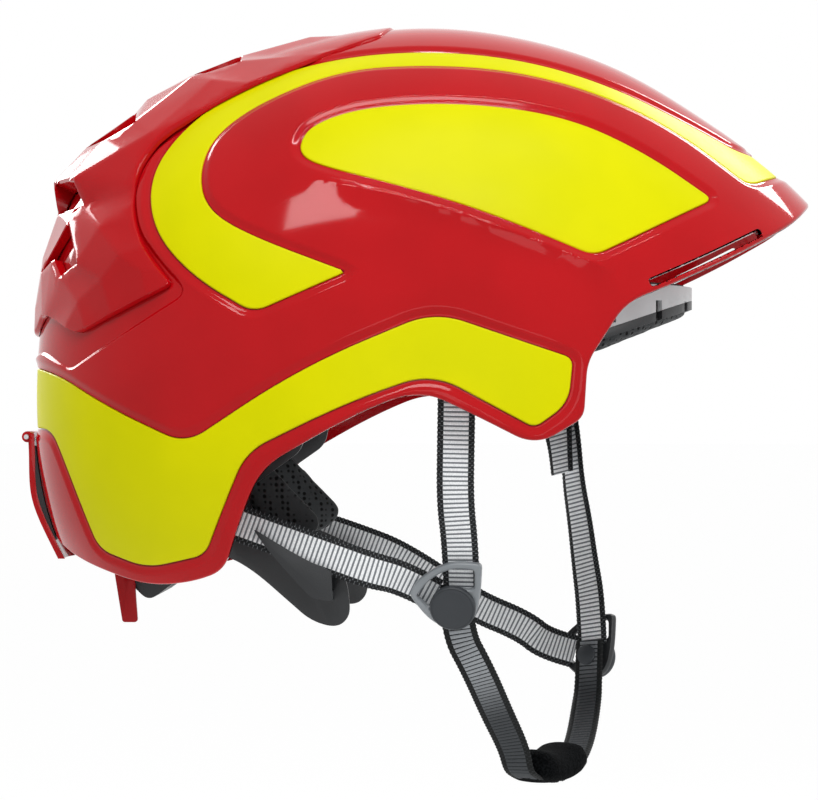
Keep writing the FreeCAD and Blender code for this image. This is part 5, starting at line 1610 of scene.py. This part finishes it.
@dataclass
class ChinPad(Pad):
    """Fleece pad rolled round the meeting of the lower straps."""

    middle: tuple[float, float, float] = (55.0, 0.0, -146.4)
    chord: tuple[float, float, float] = (0.396, 0.918, 0.0)
    arch: float = 60.0
    half_turn: float = 21.0

    def _source(self, look: bpy.types.Material) -> bpy.types.Object:
        """Arched bolster, thicker and drawn in at its ends."""
        chord = np.array(self.chord)
        across = np.array([chord[1], -chord[0], 0.0])
        up = np.array([0.0, 0.0, 1.0])
        centre = np.array(self.middle) + up * self.arch
        points, rings, size = [], 33, 28
        for i in range(rings):
            share = 2 * i / (rings - 1) - 1
            turn = math.radians(self.half_turn * share)
            out = -up * math.cos(turn) + chord * math.sin(turn)
            end = math.sqrt(max(0.0, 1 - abs(share) ** 7))
            high = (6.6 + 1.2 * share ** 2) * (0.45 + 0.55 * end)
            wide = (12.0 - 0.9 * share ** 4) * (0.66 + 0.34 * end)
            for k in range(size):
                a = TURN * k / size
                c, s = math.cos(a), math.sin(a)
                u = math.copysign(abs(c) ** 0.7, c) * wide
                v = math.copysign(abs(s) ** 0.8, s) * high
                points.append(centre + out * (self.arch + v) + across * u)
        faces = tube_faces(rings, size)
        last = (rings - 1) * size
        faces += [list(range(size))[::-1], [last + k for k in range(size)]]
        piece = new_piece(self.name, np.array(points), faces, look)
        face_outward(piece)
        return piece


# ------------------------------------------------------------------------------ moulded parts
@dataclass
class Moulding:
    """A rigid part with the edges of its solid rounded as a mould leaves them."""

    name: str
    node: str
    body: str
    slot: str
    edge: float = 0.5
    cuts: tuple = ()
    narrowing: float = 1.0
    hang: float = 0.0
    eye_foot: float = -64.5
    neck: float = 6.0
    leaf_top: float = -70.0
    raising: float = 0.15

    def _draw_in(self, mesh: bpy.types.Mesh) -> None:
        """Narrow and shift what hangs below the eye of a tab."""
        points = np.array([vertex.co for vertex in mesh.vertices]) / MM
        share = smooth((self.eye_foot - points[:, 2]) / self.neck)
        low = points[:, 2] < self.leaf_top
        middle = (points[low, 0].min() + points[low, 0].max()) / 2
        points[:, 0] += share * ((points[:, 0] - middle) * (self.narrowing - 1.0) + self.hang)
        points[:, 2] += np.maximum(0.0, self.leaf_top - points[:, 2]) * self.raising
        mesh.vertices.foreach_set("co", (points * MM).astype(np.float32).ravel())

    def build(self, look: bpy.types.Material) -> bpy.types.Object:
        """Make the part.

        Args:
            look: its material.

        Returns:
            The finished part.
        """
        piece = merged_copy(self.node, self.name, look, self.cuts, flat=0.6)
        if self.narrowing < 1.0:
            self._draw_in(piece.data)
        apply_modifier(piece, "BEVEL", width=self.edge * MM, segments=2, limit_method="ANGLE",
                       angle_limit=math.radians(38), harden_normals=False)
        smooth_under(piece, 38.0)
        return settle(piece, self.body, self.slot, self.node)


@dataclass
class ClipGapShade:
    """Black sheet on the inner face of the lamp clip, over the shell's rear: it fills the gap under the clip
    with dark, as painted shade.
    """

    half_width: float = 14.3
    top: float = -18.5
    foot: float = -59.0
    gap: float = 0.7
    room: float = 1.9
    clear: float = 0.35
    bow_foot: float = -60.0
    bow_height: float = 44.0
    rows: int = 28
    columns: int = 15

    def build(self, look: bpy.types.Material) -> bpy.types.Object:
        """Make the black sheet of painted shade.

        Args:
            look: its material.

        Returns:
            The finished sheet.
        """
        grid = np.array([(-150.0, side, height) for height in np.linspace(self.top, self.foot, self.rows)
                         for side in np.linspace(-self.half_width, self.half_width, self.columns)])
        base = FORM.on_surface(FORM.land(np.abs(grid) * (-1, 1, -1)))
        outward = FORM.normals(base)
        base[:, 1] *= np.sign(grid[:, 1])
        outward[:, 1] *= np.sign(grid[:, 1])
        share = np.clip((base[:, 2] - self.bow_foot) / self.bow_height, 0, 1)
        over = self.gap - 0.05 + self.room * np.sin(math.pi * share) ** 2
        points = np.vstack([base + outward * over[:, None], base + outward * self.clear])
        count, wide = len(grid), self.columns
        top = [[r * wide + c, r * wide + c + 1, (r + 1) * wide + c + 1, (r + 1) * wide + c]
               for r in range(self.rows - 1) for c in range(wide - 1)]
        faces = top + [[count + k for k in reversed(face)] for face in top]
        last = (self.rows - 1) * wide
        ring = [*range(wide), *range(2 * wide - 1, last + wide, wide), *range(last + wide - 2, last - 1, -1),
                *range(last - wide, 0, -wide)]
        faces += [[one, count + one, count + other, other] for one, other in zip(ring, ring[1:] + ring[:1])]
        piece = new_piece("clip_gap_shade", points, faces, look)
        face_outward(piece)
        smooth_under(piece, 38.0)
        return settle(piece, "lamp_clip", "black_plastic")


def dress(node: str, look: bpy.types.Material) -> None:
    """Give a CAD node its finish."""
    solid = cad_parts[node]
    if not solid.material_slots:
        solid.data.materials.append(look)
    for place in solid.material_slots:
        place.material = look
    LOG.info("%s: dressed in %s", node, look.name)


# ------------------------------------------------------------------------------ materials
class Look(Enum):
    """The plastics and metals of the helmet."""

    SHELL_RED = Plastic("shell_red", (0.45, 0.002, 0.005), (0.41, 0.0015, 0.004), 0.07, gloss=0.17)
    TAB_RED = Plastic("tab_red", (0.40, 0.002, 0.005), (0.36, 0.0015, 0.004), 0.28, gloss=0.2)
    INLAY_YELLOW = Plastic("inlay_yellow", (0.67, 0.655, 0.0), (0.63, 0.625, 0.0), 0.36, gloss=0.06)
    BAND_GREY = Plastic("band_grey", (0.52, 0.53, 0.54), (0.44, 0.45, 0.46), 0.33, grain=0.02, gloss=0.5)
    BLACK = Plastic("black_plastic", (0.022, 0.024, 0.026), (0.014, 0.015, 0.017), 0.42, grain=0.05,
                    gloss=0.4)
    KNOB_GREY = Plastic("knob_grey", (0.10, 0.105, 0.11), (0.08, 0.083, 0.088), 0.4, grain=0.05, gloss=0.4)
    WHITE = Plastic("white_plastic", (0.72, 0.72, 0.70), (0.66, 0.66, 0.64), 0.4, grain=0.02, gloss=0.4)
    FRAME_GREY = Plastic("frame_grey", (0.26, 0.28, 0.30), (0.20, 0.22, 0.235), 0.3, grain=0.02, gloss=0.6)
    DISC_GREY = Plastic("disc_grey", (0.040, 0.045, 0.051), (0.031, 0.035, 0.040), 0.5, grain=0.06, gloss=0.3,
                        grain_size=0.8)
    STEEL = Plastic("steel", (0.55, 0.56, 0.57), (0.47, 0.48, 0.49), 0.28, grain=0.01, metallic=1.0)
    FOAM = Plastic("liner_foam", (0.045, 0.047, 0.050), (0.028, 0.030, 0.032), 0.75, grain=0.25,
                   grain_size=3.2,
                   gloss=0.2)


PAD_MESH = Cloth("pad_mesh", (0.003, 0.003, 0.003), (0.045, 0.048, 0.050), 2.3, 0.35, True)
FLEECE = Cloth("fleece_black", (0.001, 0.0012, 0.0014), (0.007, 0.0078, 0.0086), 0.9, 0.3, False, 0.0, 0.02)


# ------------------------------------------------------------------------------ studio
class Studio:
    """Camera, lights, backdrop and floor."""

    floor_height = -0.42

    def build(self) -> None:
        """Set the whole studio."""
        self._camera()
        self._world()
        self._floor()
        self._lights()

    @staticmethod
    def _camera() -> None:
        """Long lens level with the head opening, from the right side."""
        data = bpy.data.cameras.new("camera")
        data.sensor_width = 36.0
        data.lens = 36.0 * 1300.0 / 327.2
        data.clip_start = 0.1
        data.clip_end = 40.0
        camera = bpy.data.objects.new("camera", data)
        turn = math.radians(2.0)
        camera.location = (1.3 * math.sin(turn), -1.3 * math.cos(turn), 0.0)
        camera.rotation_euler = (math.pi / 2, 0.0, turn)
        bpy.context.scene.collection.objects.link(camera)
        bpy.context.scene.camera = camera

    @staticmethod
    def _seen(nodes: bpy.types.Nodes, links: bpy.types.NodeLinks) -> bpy.types.NodeSocket:
        """1 for rays of the camera, of gloss and of clear materials."""
        path = nodes.new("ShaderNodeLightPath")
        total = path.outputs["Is Camera Ray"]
        for name in ("Is Glossy Ray", "Is Transmission Ray"):
            either = nodes.new("ShaderNodeMath")
            either.operation = "MAXIMUM"
            links.new(total, either.inputs[0])
            links.new(path.outputs[name], either.inputs[1])
            total = either.outputs[0]
        return total

    def _world(self) -> None:
        """White backdrop to look at, and a soft grey room that lights."""
        world = bpy.data.worlds.new("room")
        world.use_nodes = True
        bpy.context.scene.world = world
        nodes, links = world.node_tree.nodes, world.node_tree.links
        room = nodes["Background"]
        room.inputs["Color"].default_value = (1.0, 1.0, 1.0, 1.0)
        room.inputs["Strength"].default_value = 0.30
        white = nodes.new("ShaderNodeBackground")
        white.inputs["Color"].default_value = (1.0, 1.0, 1.0, 1.0)
        white.inputs["Strength"].default_value = 1.0
        mixed = nodes.new("ShaderNodeMixShader")
        links.new(self._seen(nodes, links), mixed.inputs[0])
        links.new(room.outputs[0], mixed.inputs[1])
        links.new(white.outputs[0], mixed.inputs[2])
        links.new(mixed.outputs[0], nodes["World Output"].inputs[0])
        bpy.context.scene.view_settings.view_transform = "Standard"

    def _floor(self) -> None:
        """Pale floor under the helmet."""
        for other in bpy.context.selected_objects:
            other.select_set(False)
        bpy.ops.mesh.primitive_plane_add(size=60.0, location=(0.0, 0.0, self.floor_height))
        floor = bpy.context.object
        floor.name = "floor"
        pale = bpy.data.materials.new("floor_pale")
        pale.use_nodes = True
        nodes, links = pale.node_tree.nodes, pale.node_tree.links
        nodes["Principled BSDF"].inputs["Base Color"].default_value = (0.85, 0.85, 0.85, 1.0)
        nodes["Principled BSDF"].inputs["Roughness"].default_value = 0.9
        white = nodes.new("ShaderNodeEmission")
        white.inputs["Strength"].default_value = 1.1
        share = nodes.new("ShaderNodeMath")
        share.operation = "MULTIPLY"
        share.inputs[1].default_value = 0.86
        mixed = nodes.new("ShaderNodeMixShader")
        links.new(self._seen(nodes, links), share.inputs[0])
        links.new(share.outputs[0], mixed.inputs[0])
        links.new(nodes["Principled BSDF"].outputs[0], mixed.inputs[1])
        links.new(white.outputs[0], mixed.inputs[2])
        links.new(mixed.outputs[0], nodes["Material Output"].inputs[0])
        floor.data.materials.append(pale)

    def _lights(self) -> None:
        """Soft boxes, and a thin strip that draws the edges."""
        self._soft_box("key", (-0.05, -1.0, 1.0), (0, 0, 0.05), 0.95, 0.26, 10.5)
        self._soft_box("strip", (0.15, -0.55, 1.25), (0, 0, 0.05), 0.9, 0.03, 5.0)
        self._soft_box("low_side", (0.1, -1.3, 0.1), (0, 0, 0), 0.5, 0.25, 0.8)
        self._soft_box("far_front", (0.75, 0.85, 0.95), (0, 0, 0.05), 0.5, 0.35, 10.0)
        self._soft_box("far_rear", (-0.8, 0.9, 0.6), (-0.05, 0, 0.05), 0.75, 0.6, 16.0)
        self._soft_box("front", (1.3, -0.6, 0.35), (0, 0, 0), 0.4, 0.6, 4.0)

    @staticmethod
    def _soft_box(name: str, place: tuple, target: tuple, width: float, height: float, watts: float) -> None:
        """One rectangular area light aimed at a point."""
        data = bpy.data.lights.new(name, "AREA")
        data.shape = "RECTANGLE"
        data.size = width
        data.size_y = height
        data.energy = watts
        light = bpy.data.objects.new(name, data)
        light.location = place
        light.rotation_euler = (Vector(target) - Vector(place)).to_track_quat("-Z", "Y").to_euler()
        bpy.context.scene.collection.objects.link(light)


class Helmet:
    """The whole helmet, built sub-assembly by sub-assembly."""

    mouldings = (
        (Moulding("lamp_clip_moulding", "rear_lamp_clip", "lamp_clip", "shell_red", 0.7), "SHELL_RED"),
        (Moulding("pull_tab_moulding", "rear_tab", "pull_tab", "tab_red", 0.35, (), 0.76, 2.6), "TAB_RED"),
        (Moulding("knob_moulding", "size_knob", "knob", "knob_grey", 0.4), "KNOB_GREY"),
        (Moulding("housing_moulding", "knob_housing", "cradle", "black_plastic", 0.8), "BLACK"),
        (Moulding("cradle_moulding", "nape_cradle", "cradle", "black_plastic", 0.6), "BLACK"),
        (Moulding("band_moulding", "headband", "root", "band_grey", 0.7,
                  (((77.5, 0, 27.2), (0.328, 0, -0.945)),)), "BAND_GREY"),
        (Moulding("band_lower_edge", "headband", "root", "black_plastic", 0.4,
                  (((77.5, 0, 23.7), (0.328, 0, -0.945)), ((77.5, 0, 27.15), (-0.328, 0, 0.945)))), "BLACK"))
    dressed = {
        "BLACK": ("hanger_front_left", "hanger_front_right", "hanger_rear_left", "hanger_rear_right",
                  "strap_post_front_left", "strap_post_front_right", "strap_post_rear_left",
                  "strap_post_rear_right"),
        "STEEL": ("knob_axle", "post_screws", "clip_pin", "tab_pin"),
        "WHITE": ("knob_pinion", "rack_left", "rack_right"),
        "FOAM": ("impact_liner",)}

    def __init__(self) -> None:
        """Make the finishes."""
        self.looks = {look.name: plastic_material(look.value) for look in Look}

    def build(self) -> None:
        """Build every piece."""
        red, yellow = self.looks["SHELL_RED"], self.looks["INLAY_YELLOW"]
        shell = Shell(ShellDesign(), red, yellow)
        shell.build_shell()
        for name in ("side_inlay", "crown_stripe", "lower_band"):
            shell.build_panel(name)
        VentCover().build(red)
        light, dark = webbing_material(WEBBING_LIGHT, 14.0), webbing_material(WEBBING_DARK, 13.0)
        for strap in UPPER_STRAPS:
            strap.build(light)
        for strap in LOWER_STRAPS:
            strap.build(dark)
        for side, rim in (("right", "FRAME_GREY"), ("left", "BLACK")):
            divider = Divider(side, *DIVIDER_PLACES[side])
            divider.build_frame(self.looks[rim])
            divider.build_disc(self.looks["DISC_GREY"])
        mesh, fleece = cloth_material(PAD_MESH), cloth_material(FLEECE)
        for pad in (Pad("brow_cushion", "brow_pad", "root", "pad_mesh", 2.0, 0.3, 1.0, 0.6,
                        ((73.8, 0, 18.7), (0.371, 0, -0.928))),
                    Pad("nape_cushion", "nape_pad", "cradle", "pad_mesh", 2.4, 0.4, 1.0, 0.6,
                        ((-40, 0, -34.5), (0.72, 0, 0.69))),
                    Pad("crown_cushion", "crown_pad", "root", "pad_mesh", 3.0)):
            pad.build(mesh)
        ChinPad("chin_bolster", "chin_pad", "chin_loop", "fleece_black", 2.4, 0.6, 1.6, 0.7).build(fleece)
        for moulding, look in self.mouldings:
            moulding.build(self.looks[look])
        # black sheet of painted shade in the gap under the lamp clip
        ClipGapShade().build(self.looks["BLACK"])
        for look, nodes in self.dressed.items():
            for node in nodes:
                dress(node, self.looks[look])


DIVIDER_PLACES = {"right": ((19.6, -75.0, -77.2), (-0.138, -0.942, -0.304)),
                  "left": ((75.0, 71.0, -108.0), (0.5, 0.84, -0.2))}


def main() -> None:
    """Build every piece and the studio."""
    logging.basicConfig(level=logging.INFO, format="%(message)s")
    Helmet().build()
    Studio().build()


if __name__ == "__main__":
    main()
